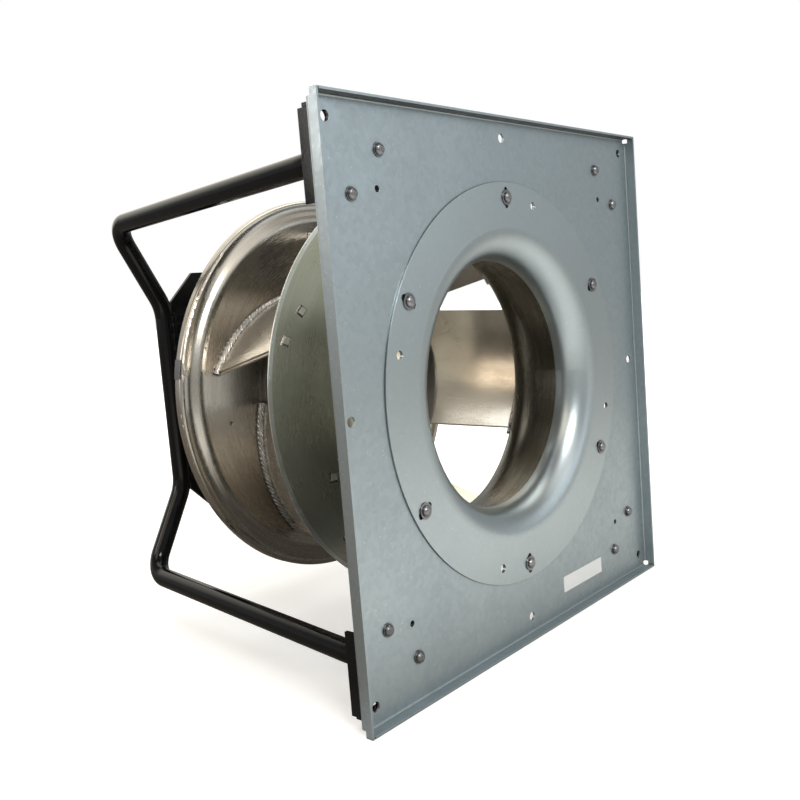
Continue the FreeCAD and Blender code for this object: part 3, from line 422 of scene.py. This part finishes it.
plateLook = {
    "name": "galvanisedSheet",
    "metal": 0.9,
    "dark": (0.355, 0.41, 0.435, 1),
    "light": (0.45, 0.515, 0.54, 1),
    "speck": (0.80, 0.82, 0.82, 1),
    "scratch": (0.60, 0.63, 0.64, 1),
    "edge": (0.70, 0.72, 0.73, 1),
    # Painted shade for the underside of the top lip
    "paintedLipShade": (0.055, 0.053, 0.05, 1),
    "lipHeight": 0.29,
    "lipLean": (-0.6, -0.9),
    "spangle": {"Scale": 170.0},
    "spangleShare": 0.45,
    "marks": {"Smudge Scale": 7.0, "Speck Share": 0.06},
    "smudgeShare": 0.55,
    "speckShare": 0.4,
    "scratches": {"Scale": 1.0, "Amount": 0.35},
    "scratchShine": 0.05,
    "scratchDepth": 0.3,
    "wear": {"Radius": 0.001, "Amount": 0.6},
    "grime": {"Reach": 0.004, "Amount": 0.9},
    "shadeRange": (0.2, 0.8),
    "rough": (0.41, 0.31),
    "bump": {"depth": 0.00003, "strength": 0.35, "edge": 0.0004},
}

nozzleLook = {
    **plateLook,
    "name": "nozzleSheet",
    "dark": (0.43, 0.485, 0.505, 1),
    "light": (0.47, 0.53, 0.55, 1),
    "spangle": {"Scale": 230.0},
    "scratches": {"Scale": 1.0, "Amount": 0.5},
    # Strong worn edges: wear, and partly a painted highlight line along the flange's outline
    "wear": {"Radius": 0.001, "Amount": 0.75},
    "rough": (0.32, 0.29),
    "bump": {"depth": 0.000003, "strength": 0.35, "edge": 0.0004},
}


# Painted shade darkens the underside of the plate's top lip
def withPaintedLipShade(tree, colour, look):
    down = remap(tree, parts(tree, coordinates(tree, "Normal"))[2], *look["lipLean"])
    height = parts(tree, coordinates(tree))[2]
    under = times(tree, down, calc(tree, "GREATER_THAN", height, look["lipHeight"]))
    return blendColour(tree, under, colour, look["paintedLipShade"])


def galvanisedSheet(look):
    material, tree, shader = newFinish(look["name"], {"Metallic": look["metal"]})
    spangle = useGroup(tree, zincSpangle, look["spangle"])
    marks = useGroup(tree, handlingMarks, look["marks"])
    scratches = useGroup(tree, fineScratches, look["scratches"])["Mask"]
    smudge = marks["Smudge"]
    shade = weighed(tree, spangle["Shade"], look["spangleShare"], smudge, look["smudgeShare"])
    colour = blendColour(tree, shade, look["dark"], look["light"])
    specks = times(tree, marks["Specks"], look["speckShare"])
    colour = blendColour(tree, specks, colour, look["speck"])
    colour = blendColour(tree, scratches, colour, look["scratch"])
    colour = withPaintedLipShade(tree, wearAndGrime(tree, colour, look), look)
    link(tree, colour, shader, "Base Color")
    rough = remap(tree, shade, *look["shadeRange"], *look["rough"])
    rough = calc(tree, "SUBTRACT", rough, times(tree, scratches, look["scratchShine"]))
    link(tree, rough, shader, "Roughness")
    grooves = times(tree, scratches, look["scratchDepth"])
    roundedBump(tree, shader, calc(tree, "SUBTRACT", spangle["Height"], grooves), look["bump"])
    return material


zincLook = {
    "name": "zincFasteners",
    "metal": 1.0,
    "dark": (0.13, 0.13, 0.135, 1),
    "light": (0.36, 0.36, 0.37, 1),
    # The light worn edges are wear, and partly a painted highlight on the heads
    "edge": (0.62, 0.62, 0.61, 1),
    "grain": {"Scale": 1800.0},
    "broadShare": 0.6,
    "fineShare": 0.4,
    "wear": {"Radius": 0.0005, "Amount": 0.9},
    "grime": {"Reach": 0.0035, "Amount": 0.98},
    "shadeRange": (0.3, 0.7),
    "rough": (0.42, 0.26),
    "bump": {"depth": 0.00004, "strength": 0.4, "edge": 0.0002},
}


def zincPlate(look):
    material, tree, shader = newFinish(look["name"], {"Metallic": look["metal"]})
    grain = useGroup(tree, fineGrain, look["grain"])
    mixed = weighed(tree, grain["Shade"], look["broadShare"], grain["Height"], look["fineShare"])
    shade = remap(tree, mixed, *look["shadeRange"])
    colour = blendColour(tree, shade, look["dark"], look["light"])
    link(tree, wearAndGrime(tree, colour, look), shader, "Base Color")
    link(tree, remap(tree, mixed, *look["shadeRange"], *look["rough"]), shader, "Roughness")
    roundedBump(tree, shader, grain["Height"], look["bump"])
    return material


paintLook = {
    "name": "blackPaint",
    "constants": {"Metallic": 0.0, "Specular IOR Level": 0.28},
    "film": (0.0035, 0.0038, 0.0048, 1),
    "dust": (0.014, 0.014, 0.014, 1),
    "edge": (0.022, 0.022, 0.022, 1),
    "grain": {"Scale": 420.0},
    "marks": {"Smudge Scale": 22.0, "Speck Scale": 420.0, "Speck Share": 0.05},
    "speckShare": 0.6,
    "smudgeShare": 0.12,
    "wear": {"Radius": 0.0008, "Amount": 0.5},
    "scratches": {"Scale": 1.3, "Amount": 0.4},
    "leastRough": 0.05,
    "smudgeRough": 0.12,
    "bump": {"depth": 0.00012, "strength": 0.35, "edge": 0.0006},
}


def blackPaint(look):
    material, tree, shader = newFinish(look["name"], look["constants"])
    grain = useGroup(tree, fineGrain, look["grain"])
    marks = useGroup(tree, handlingMarks, look["marks"])
    worn = useGroup(tree, wornEdges, look["wear"])["Mask"]
    scratches = useGroup(tree, fineScratches, look["scratches"])["Mask"]
    specks = times(tree, marks["Specks"], look["speckShare"])
    colour = blendColour(tree, specks, look["film"], look["dust"])
    smudge = times(tree, marks["Smudge"], look["smudgeShare"])
    colour = blendColour(tree, smudge, colour, look["dust"])
    colour = blendColour(tree, calc(tree, "MAXIMUM", worn, scratches), colour, look["edge"])
    link(tree, colour, shader, "Base Color")
    rough = times(tree, marks["Smudge"], look["smudgeRough"])
    rough = calc(tree, "ADD", look["leastRough"], rough)
    link(tree, rough, shader, "Roughness")
    roundedBump(tree, shader, grain["Height"], look["bump"])
    return material


aluminiumLook = {
    "metal": 1.0,
    "dark": (0.46, 0.43, 0.38, 1),
    "light": (0.70, 0.675, 0.62, 1),
    "stain": (0.34, 0.28, 0.215, 1),
    "scratch": (0.92, 0.91, 0.89, 1),
    "edge": (0.93, 0.92, 0.90, 1),
    "marks": {"Smudge Scale": 13.0, "Speck Scale": 190.0, "Speck Share": 0.08},
    "stainShare": 0.35,
    "scratches": {"Scale": 1.2, "Amount": 0.7},
    "scratchDepth": 0.6,
    "wear": {"Radius": 0.0008, "Amount": 0.7},
    "grime": {"Reach": 0.004, "Amount": 0.85},
    "shadeRange": (0.3, 0.7),
    "smudgeRough": 0.08,
    "bump": {"depth": 0.00002, "strength": 0.4, "edge": 0.0003},
}

# The disc takes a painted shade, dark brown, where the blades and the shroud close it in
discLook = {
    **aluminiumLook,
    "name": "spunAluminium",
    "grain": spunRings,
    "fineness": 1400.0,
    "corner": {"colour": (0.10, 0.07, 0.05, 1), "shelterShade": {"Reach": 0.10, "Amount": 0.75}},
    "rough": (0.28, 0.18),
}

# The shroud is greener and more even, with a painted shade on its inner side and a painted highlight along its
# outer edge
shroudLook = {
    **aluminiumLook,
    "name": "shroudAluminium",
    "grain": spunRings,
    "fineness": 1000.0,
    "dark": (0.53, 0.50, 0.41, 1),
    "light": (0.66, 0.635, 0.535, 1),
    "stain": (0.42, 0.385, 0.29, 1),
    "scratches": {"Scale": 1.2, "Amount": 0.15},
    "wear": {"Radius": 0.0008, "Amount": 0.3},
    # Painted shade on the inner side, broken up in streaks by the grain
    "film": {"colour": (0.16, 0.152, 0.13, 1), "streaks": (0.40, 0.62, 1.0, 0.72)},
    # A painted highlight along the outer edge, in patches
    "rim": {"width": 0.0042, "softness": 0.0004, "patches": (0.0, 0.6, 0.35, 0.9)},
    "rough": (0.25, 0.20),
}

bladeLook = {
    **aluminiumLook,
    "name": "bladeAluminium",
    "metal": 0.8,
    "grain": rolledGrain,
    "fineness": 1200.0,
    "dark": (0.64, 0.60, 0.52, 1),
    "light": (0.87, 0.83, 0.74, 1),
    "rough": (0.24, 0.16),
}


# Painted shade on the shroud's inner side, and a painted highlight along its outer edge
def withInnerShadeAndRimHighlight(tree, colour, look, grain, marks):
    space = useGroup(tree, turnedSpace)
    film, rim = look["film"], look["rim"]
    streaks = remap(tree, grain["Shade"], *film["streaks"])
    colour = blendColour(tree, times(tree, space["Inward"], streaks), colour, film["colour"])
    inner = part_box("front_shroud")[1].x - rim["width"]
    outside = remap(tree, space["Radius"], inner - rim["softness"], inner)
    band = times(tree, outside, remap(tree, marks["Smudge"], *rim["patches"]))
    return blendColour(tree, band, colour, look["edge"])


def bareAluminium(look):
    material, tree, shader = newFinish(look["name"], {"Metallic": look["metal"]})
    grain = useGroup(tree, look["grain"], {"Fineness": look["fineness"]})
    marks = useGroup(tree, handlingMarks, look["marks"])
    scratches = useGroup(tree, fineScratches, look["scratches"])["Mask"]
    shade = remap(tree, grain["Shade"], *look["shadeRange"])
    colour = blendColour(tree, shade, look["dark"], look["light"])
    for kind in ("Smudge", "Specks"):
        stain = times(tree, marks[kind], look["stainShare"])
        colour = blendColour(tree, stain, colour, look["stain"])
    colour = blendColour(tree, scratches, colour, look["scratch"])
    if "film" in look:
        colour = withInnerShadeAndRimHighlight(tree, colour, look, grain, marks)
    colour = wearAndGrime(tree, colour, look)
    # Painted shade: dark brown where ambient occlusion finds the disc closed in
    if "corner" in look:
        shelterShade = useGroup(tree, creviceShade, look["corner"]["shelterShade"])["Mask"]
        colour = blendColour(tree, shelterShade, colour, look["corner"]["colour"])
    link(tree, colour, shader, "Base Color")
    rough = remap(tree, shade, 0.0, 1.0, *look["rough"])
    rough = calc(tree, "ADD", rough, times(tree, marks["Smudge"], look["smudgeRough"]))
    link(tree, rough, shader, "Roughness")
    grooves = times(tree, scratches, look["scratchDepth"])
    roundedBump(tree, shader, calc(tree, "SUBTRACT", grain["Height"], grooves), look["bump"])
    return material


weldLook = {
    "name": "weldBead",
    "metal": 1.0,
    "bright": (0.68, 0.67, 0.65, 1),
    "soot": (0.09, 0.085, 0.08, 1),
    "skin": {"Ripple": 2400.0},
    "crease": (-0.2, -0.95),
    "creaseShare": 0.4,
    "sootRange": (0.50, 0.72, 0.0, 0.6),
    "grime": {"Reach": 0.003, "Amount": 0.9},
    "rough": (0.26, 0.5),
    "bump": {"depth": 0.0003, "strength": 0.8, "edge": 0.0002},
}


def weldMetal(look):
    material, tree, shader = newFinish(look["name"], {"Metallic": look["metal"]})
    skin = useGroup(tree, weldSkin, look["skin"])
    crease = times(tree, remap(tree, skin["Height"], *look["crease"]), look["creaseShare"])
    soot = calc(tree, "MAXIMUM", remap(tree, skin["Soot"], *look["sootRange"]), crease)
    grime = useGroup(tree, creviceShade, look["grime"])["Mask"]
    colour = blendColour(tree, soot, look["bright"], look["soot"])
    link(tree, blendColour(tree, grime, colour, grimeColour), shader, "Base Color")
    link(tree, remap(tree, soot, 0.0, 1.0, *look["rough"]), shader, "Roughness")
    roundedBump(tree, shader, skin["Height"], look["bump"])
    return material


# Castings, rubber, plastic and the other plain finishes share one build
plainLook = {
    "constants": {},
    "grain": {"Scale": 1500.0},
    "grainShare": 0.5,
    "marks": {"Smudge Scale": 26.0, "Speck Scale": 500.0, "Speck Share": 0.05},
    "speckShare": 0.4,
    "wear": {"Radius": 0.0007, "Amount": 0.6},
    "edgeLift": 1.6,
    "shadeRange": (0.3, 0.7),
    "darkRougher": 0.08,
    "lightSmoother": 0.05,
    "bump": {"depth": 0.00008, "strength": 0.6, "edge": 0.0004},
}

# Each by its material slot, or by the node's own name
plainLooks = {
    "cast_aluminium": {
        "name": "castAluminium",
        "dark": (0.36, 0.37, 0.38),
        "light": (0.52, 0.53, 0.54),
        "rough": 0.42,
        "metal": 1.0,
    },
    "gasket_rubber": {
        "name": "gasketRubber",
        "dark": (0.012, 0.012, 0.012),
        "light": (0.03, 0.03, 0.03),
        "rough": 0.75,
        "metal": 0.0,
    },
    "black_plastic": {
        "name": "blackPlastic",
        "dark": (0.018, 0.018, 0.02),
        "light": (0.035, 0.035, 0.04),
        "rough": 0.5,
        "metal": 0.0,
    },
    "board": {
        "name": "solderResist",
        "dark": (0.012, 0.10, 0.04),
        "light": (0.03, 0.19, 0.08),
        "rough": 0.35,
        "metal": 0.0,
        "constants": {"Coat Weight": 0.3},
    },
    "capacitor_can": {
        "name": "capacitorSleeve",
        "dark": (0.05, 0.055, 0.07),
        "light": (0.10, 0.105, 0.12),
        "rough": 0.35,
        "metal": 0.2,
    },
    "core_steel": {
        "name": "coreSteel",
        "dark": (0.14, 0.14, 0.145),
        "light": (0.24, 0.24, 0.245),
        "rough": 0.4,
        "metal": 1.0,
    },
    "winding_copper": {
        "name": "windingCopper",
        "dark": (0.48, 0.17, 0.06),
        "light": (0.74, 0.34, 0.15),
        "rough": 0.32,
        "metal": 1.0,
    },
    "bearing_steel": {
        "name": "bearingSteel",
        "dark": (0.55, 0.56, 0.57),
        "light": (0.72, 0.73, 0.74),
        "rough": 0.16,
        "metal": 1.0,
    },
    "rotor_bell": {
        "name": "rotorSkin",
        "dark": (0.34, 0.335, 0.315),
        "light": (0.46, 0.455, 0.43),
        "rough": 0.30,
        "metal": 1.0,
    },
}


def grainedFinish(ownLook):
    look = {**plainLook, **ownLook}
    constants = {"Metallic": look["metal"], **look["constants"]}
    material, tree, shader = newFinish(look["name"], constants)
    dark = (*look["dark"], 1)
    edge = (*(min(1, value * look["edgeLift"]) for value in look["light"]), 1)
    grain = useGroup(tree, fineGrain, look["grain"])
    marks = useGroup(tree, handlingMarks, look["marks"])
    share = look["grainShare"]
    mixed = weighed(tree, grain["Shade"], share, grain["Height"], share)
    shade = remap(tree, mixed, *look["shadeRange"])
    colour = blendColour(tree, shade, dark, (*look["light"], 1))
    colour = blendColour(tree, useGroup(tree, wornEdges, look["wear"])["Mask"], colour, edge)
    specks = times(tree, marks["Specks"], look["speckShare"])
    link(tree, blendColour(tree, specks, colour, dark), shader, "Base Color")
    rough = (look["rough"] + look["darkRougher"], look["rough"] - look["lightSmoother"])
    link(tree, remap(tree, mixed, *look["shadeRange"], *rough), shader, "Roughness")
    roundedBump(tree, shader, grain["Height"], look["bump"])
    return material


# A node takes the finish of its own name, or else of its material slot
finishes = {
    "galvanised_sheet": galvanisedSheet(plateLook),
    "nozzle_sheet": galvanisedSheet(nozzleLook),
    "zinc_fasteners": zincPlate(zincLook),
    "black_paint": blackPaint(paintLook),
    "back_disc": bareAluminium(discLook),
    "front_shroud": bareAluminium(shroudLook),
    "impeller_aluminium": bareAluminium(bladeLook),
    "weld_bead": weldMetal(weldLook),
    **{name: grainedFinish(look) for name, look in plainLooks.items()},
}


def dressNodes():
    slots = {part["node"]: part["material_slot"] for part in frame["record"]["subparts"]}
    for name, item in nodes.items():
        item.data.materials.clear()
        item.data.materials.append(finishes.get(name) or finishes[slots[name]])


dressNodes()
print("finishes on the nodes:", len(finishes))


def addPiece(name, form, finish):
    mesh = bpy.data.meshes.new(name)
    form.to_mesh(mesh)
    form.free()
    mesh.materials.append(finish)
    piece = bpy.data.objects.new(name, mesh)
    bpy.context.scene.collection.objects.link(piece)
    return piece


# The blank sticker low on the right of the plate
sticker = {
    "left": 0.0792,
    "bottom": -0.2866,
    "width": 0.1010,
    "height": 0.0209,
    "thickness": 0.00018,
    "gap": 0.00002,
    "corner": 0.0012,
    "cornerSteps": 6,
    "film": {
        "name": "stickerFilm",
        "dark": (0.70, 0.71, 0.71),
        "light": (0.80, 0.81, 0.81),
        "rough": 0.38,
        "metal": 0.0,
        "grain": {"Scale": 2200.0},
        "bump": {"depth": 0.00003, "strength": 0.6, "edge": 0.0004},
    },
}


def stickerOutline():
    halfWidth, halfHeight = sticker["width"] / 2, sticker["height"] / 2
    middleX, middleZ = sticker["left"] + halfWidth, sticker["bottom"] + halfHeight
    radius, steps = sticker["corner"], sticker["cornerSteps"]
    points = []
    for quarter, (side, level) in enumerate(((1, 1), (-1, 1), (-1, -1), (1, -1))):
        for step in range(steps + 1):
            angle = math.radians(90 * quarter + 90 * step / steps)
            x = side * (halfWidth - radius) + radius * math.cos(angle)
            z = level * (halfHeight - radius) + radius * math.sin(angle)
            points.append((middleX + x, middleZ + z))
    return points


def buildSticker():
    form = bmesh.new()
    outline = stickerOutline()
    front = [form.verts.new((x, -sticker["thickness"], z)) for x, z in outline]
    back = [form.verts.new((x, -sticker["gap"], z)) for x, z in outline]
    form.faces.new(front)
    form.faces.new(list(reversed(back)))
    for here in range(len(outline)):
        after = (here + 1) % len(outline)
        form.faces.new((front[here], back[here], back[after], front[after]))
    bmesh.ops.recalc_face_normals(form, faces=form.faces)
    piece = addPiece("plateSticker", form, grainedFinish(sticker["film"]))
    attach(piece, "frame")


buildSticker()
print("sticker built")


def alongImpeller(spot):
    return math.hypot(spot.x, spot.z)


frameRun = {"plateDepth": 0.2, "footX": 0.265, "footZ": 0.256, "footRadius": 0.0145}


# Down the motor plate's stitches, and round the tubes at their feet
def alongFrame(spot):
    if spot.y > frameRun["plateDepth"]:
        return spot.z
    turn = math.atan2(abs(spot.z) - frameRun["footZ"], abs(spot.x) - frameRun["footX"])
    return turn * frameRun["footRadius"]


# Weld beads: the solid bead, cut finer and rippled along its run
beads = {
    "blade_root_welds": {
        "body": "impeller",
        "finish": "weld_bead",
        "along": alongImpeller,
        "pitch": 0.0021,
        "swell": 0.00045,
        "cell": 0.0012,
    },
    "blade_tip_welds": {
        "body": "impeller",
        "finish": "weld_bead",
        "along": alongImpeller,
        "pitch": 0.0020,
        "swell": 0.0004,
        "cell": 0.0012,
        "otherSide": {"gap": 0.0056, "radius": 0.193, "sweep": 2.25, "sweepRise": 30.2},
    },
    "frame_welds": {
        "body": "frame",
        "finish": "black_paint",
        "along": alongFrame,
        "pitch": 0.003,
        "swell": 0.0004,
        "cell": 0.0018,
    },
}

beadBuild = {"join": 0.00002, "rounds": 6, "mostPoints": 90000}
rippleLook = {
    "level": 0.9,
    "phaseScale": 160.0,
    "phaseShare": 0.35,
    "roughScale": 420.0,
    "roughShare": 0.15,
}


# The blades are welded to the shroud along both faces: the run is turned round the axis to the
# far face
def addOtherSide(form, look):
    whole = form.verts[:] + form.edges[:] + form.faces[:]
    copied = bmesh.ops.duplicate(form, geom=whole)["geom"]
    for vertex in copied:
        if isinstance(vertex, bmesh.types.BMVert):
            radius = math.hypot(vertex.co.x, vertex.co.z)
            sweep = look["sweep"] + look["sweepRise"] * (radius - look["radius"])
            turn = look["gap"] * math.hypot(1, sweep) / radius
            vertex.co = Matrix.Rotation(turn, 3, "Y") @ vertex.co


def cutFiner(form, cell):
    for cut in range(beadBuild["rounds"]):
        longEdges = [edge for edge in form.edges if edge.calc_length() > cell]
        if not longEdges or len(form.verts) > beadBuild["mostPoints"]:
            break
        bmesh.ops.subdivide_edges(form, edges=longEdges, cuts=1)
        manySided = [face for face in form.faces if len(face.verts) > 3]
        bmesh.ops.triangulate(form, faces=manySided)


def ripple(form, look):
    form.normal_update()
    moves = []
    for vertex in form.verts:
        spot = vertex.co
        wobble = noise.noise(spot * rippleLook["phaseScale"]) * rippleLook["phaseShare"]
        phase = look["along"](spot) / look["pitch"] + wobble
        roughness = noise.noise(spot * rippleLook["roughScale"]) * rippleLook["roughShare"]
        rise = abs(math.sin(math.pi * phase)) - rippleLook["level"] + roughness
        moves.append(vertex.normal * look["swell"] * rise)
    for vertex, move in zip(form.verts, moves):
        vertex.co += move
    for face in form.faces:
        face.smooth = True


def buildBead(name, look):
    form = bmesh.new()
    form.from_mesh(nodes[name].data)
    bmesh.ops.remove_doubles(form, verts=form.verts, dist=beadBuild["join"])
    cutFiner(form, look["cell"])
    ripple(form, look)
    if "otherSide" in look:
        addOtherSide(form, look["otherSide"])
    piece = addPiece(name.replace("_", "") + "Rippled", form, finishes[look["finish"]])
    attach(piece, look["body"])
    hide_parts(name)
    print("bead", name, len(piece.data.vertices), "points")


for beadName, beadLook in beads.items():
    buildBead(beadName, beadLook)
print("weld beads built")


# How much of the plain white background a ray sees: camera and clear rays all of it, metal a part
backdrop = {"metalShare": 0.08}


def backgroundShare(tree):
    path = addNode(tree, "LightPath").outputs
    metal = times(tree, path["Is Glossy Ray"], backdrop["metalShare"])
    clear = calc(tree, "MAXIMUM", path["Is Camera Ray"], path["Is Transmission Ray"])
    return calc(tree, "MAXIMUM", clear, metal)


# The room is dim, with a few soft pale walls that the metal mirrors
room = {
    "top": (0.11, 0.09, 0.07, 1),
    "side": (0.295, 0.305, 0.31, 1),
    "low": (0.08, 0.06, 0.045, 1),
    "sideHeight": (-0.35, 0.05),
    "topHeight": (0.3, 0.85),
    "strength": 1.0,
}

softWalls = {
    "frontHigh": {
        "way": (0.1, -0.75, 0.65),
        "spread": (0.88, 0.985),
        "colour": (1.0, 0.99, 0.95),
        "glow": 1.0,
    },
    "frontRight": {
        "way": (0.62, -0.76, 0.18),
        "spread": (0.90, 0.995),
        "colour": (0.84, 0.95, 1.0),
        "glow": 0.34,
    },
    "ceiling": {
        "way": (0.42, 0.1, 0.9),
        "spread": (0.86, 0.97),
        "colour": (1.0, 0.98, 0.88),
        "glow": 2.3,
    },
    "leftHigh": {
        "way": (-0.74, -0.06, 0.67),
        "spread": (0.93, 0.985),
        "colour": (1.0, 0.82, 0.62),
        "glow": 2.2,
    },
    "backHigh": {
        "way": (0.18, 0.90, 0.38),
        "spread": (0.80, 0.97),
        "colour": (1.0, 0.94, 0.80),
        "glow": 1.45,
    },
    "leftLow": {
        "way": (-0.95, 0.25, 0.05),
        "spread": (0.85, 0.98),
        "colour": (1.0, 0.84, 0.78),
        "glow": 0.35,
    },
}


def buildWorld():
    world = bpy.data.worlds.new("paleRoom")
    bpy.context.scene.world = world
    world.use_nodes = True
    tree = world.node_tree
    tree.nodes.clear()
    way = coordinates(tree, "Generated")
    height = parts(tree, way)[2]
    low = blendColour(tree, remap(tree, height, *room["sideHeight"]), room["low"], room["side"])
    sky = blendColour(tree, remap(tree, height, *room["topHeight"]), low, room["top"])
    for look in softWalls.values():
        facing = vectorCalc(tree, "DOT_PRODUCT", way, Vector(look["way"]).normalized())["Value"]
        soft = remap(tree, facing, *look["spread"], curve="SMOOTHSTEP")
        bright = (*(value * look["glow"] for value in look["colour"]), 1)
        sky = blendColour(tree, 1.0, sky, blendColour(tree, soft, black, bright), "ADD")
    dim = addNode(tree, "Background", {"Color": sky, "Strength": room["strength"]}).outputs[0]
    plain = addNode(tree, "Background", {"Color": white, "Strength": 1.0}).outputs[0]
    mixed = addNode(tree, "MixShader", {0: backgroundShare(tree), 1: dim, 2: plain}).outputs[0]
    addNode(tree, "OutputWorld", {"Surface": mixed})


# Painted reflections: floor tones that only metal mirrors, by distance from the fan, with a painted shade by depth
# behind the plate and a painted glow near the plate's foot, and a glow to white for the camera that leaves the
# shadow near the fan
floorLook = {
    "size": 40.0,
    "drop": 0.0004,
    "rough": 0.9,
    "colour": (0.72, 0.72, 0.71, 1),
    "grain": {"Scale": 300.0},
    "grainShare": 0.06,
    "front": (0.80, 0.81, 0.81, 1),
    "far": (0.34, 0.35, 0.355, 1),
    "farReach": (0.4, 2.6),
    # Painted shade that metal mirrors behind the plate
    "back": (0.10, 0.085, 0.065, 1),
    "backDepth": (-0.3, 0.1),
    "glow": (0.50, 1.0),
    "glowReach": (0.8, 2.4),
    # Painted glow that only metal mirrors, near the plate's foot
    "mirroredGlow": (0.20, 0.0),
    "mirroredGlowReach": (0.4, 2.0),
    "mirroredGlowDepth": (0.1, -0.1),
}


def floorFinish(look):
    material, tree, shader = newFinish("paleFloor", {"Roughness": look["rough"]})
    spot = coordinates(tree)
    distance = addNode(tree, "VectorMath", {0: spot}, operation="LENGTH").outputs["Value"]
    depth = parts(tree, spot)[1]
    glossy = addNode(tree, "LightPath").outputs["Is Glossy Ray"]
    grain = times(tree, useGroup(tree, fineGrain, look["grain"])["Shade"], look["grainShare"])
    colour = blendColour(tree, grain, look["colour"], white)
    front = blendColour(tree, remap(tree, distance, *look["farReach"]), look["front"], look["far"])
    tone = blendColour(tree, remap(tree, depth, *look["backDepth"]), front, look["back"])
    link(tree, blendColour(tree, glossy, colour, tone), shader, "Base Color")
    whitening = remap(tree, distance, *look["glowReach"], *look["glow"])
    glow = times(tree, whitening, backgroundShare(tree))
    mirroredGlow = remap(tree, distance, *look["mirroredGlowReach"], *look["mirroredGlow"])
    mirroredGlow = times(tree, mirroredGlow, remap(tree, depth, *look["mirroredGlowDepth"]))
    glow = calc(tree, "ADD", glow, times(tree, mirroredGlow, glossy))
    link(tree, blendColour(tree, glow, black, white), shader, "Emission Color")
    shader.inputs["Emission Strength"].default_value = 1.0
    return material


# The floor lies just under the plate's lower edge
def buildFloor(look):
    half = look["size"] / 2
    level = cadBox[0].z - look["drop"]
    ends = ((-half, -half), (half, -half), (half, half), (-half, half))
    mesh = bpy.data.meshes.new("floor")
    mesh.from_pydata([(x, y, level) for x, y in ends], [], [(0, 1, 2, 3)])
    mesh.materials.append(floorFinish(look))
    floor = bpy.data.objects.new("floor", mesh)
    bpy.context.scene.collection.objects.link(floor)


lampTarget = (0.0, 0.15, 0.0)
lamps = {
    "keyLeft": {"spot": (-1.5, -2.6, 2.3), "size": 1.3, "watts": 70.0, "colour": (1.0, 0.99, 0.97)},
    "fillRight": {"spot": (1.7, -2.9, 0.9), "size": 1.8, "watts": 6.5, "colour": (0.94, 0.97, 1.0)},
    "overhead": {"spot": (-0.5, 0.9, 2.7), "size": 1.2, "watts": 9.0, "colour": (1.0, 1.0, 1.0)},
    "backLeft": {"spot": (-2.3, 1.5, 0.9), "size": 0.8, "watts": 9.0, "colour": (1.0, 0.95, 0.88)},
}


def buildLamps():
    for name, look in lamps.items():
        light = bpy.data.lights.new(name, "AREA")
        light.shape = "SQUARE"
        light.size = look["size"]
        light.energy = look["watts"]
        light.color = look["colour"]
        lamp = bpy.data.objects.new(name, light)
        lamp.location = look["spot"]
        way = Vector(lampTarget) - lamp.location
        lamp.rotation_euler = way.to_track_quat("-Z", "Y").to_euler()
        bpy.context.scene.collection.objects.link(lamp)


# The camera stands left of the inlet and a little above the axis
view = {
    "spot": (-0.92760622, -0.62100509, 0.12084077),
    "target": (-0.04622961, 0.15, -0.01493207),
    "roll": -4.618709,
    "lens": 41.2095,
    "sensor": 36.0,
    "near": 0.01,
    "far": 50.0,
}


def buildCamera():
    lens = bpy.data.cameras.new("photoCamera")
    lens.sensor_width = view["sensor"]
    lens.lens = view["lens"]
    lens.clip_start = view["near"]
    lens.clip_end = view["far"]
    camera = bpy.data.objects.new("photoCamera", lens)
    spot = Vector(view["spot"])
    turn = (Vector(view["target"]) - spot).to_track_quat("-Z", "Y").to_matrix().to_4x4()
    roll = Matrix.Rotation(math.radians(view["roll"]), 4, "Z")
    camera.matrix_world = Matrix.Translation(spot) @ turn @ roll
    bpy.context.scene.collection.objects.link(camera)
    bpy.context.scene.camera = camera


buildWorld()
buildFloor(floorLook)
buildLamps()
buildCamera()
bpy.context.scene.view_settings.view_transform = "Standard"
print("studio, lamps and camera ready")
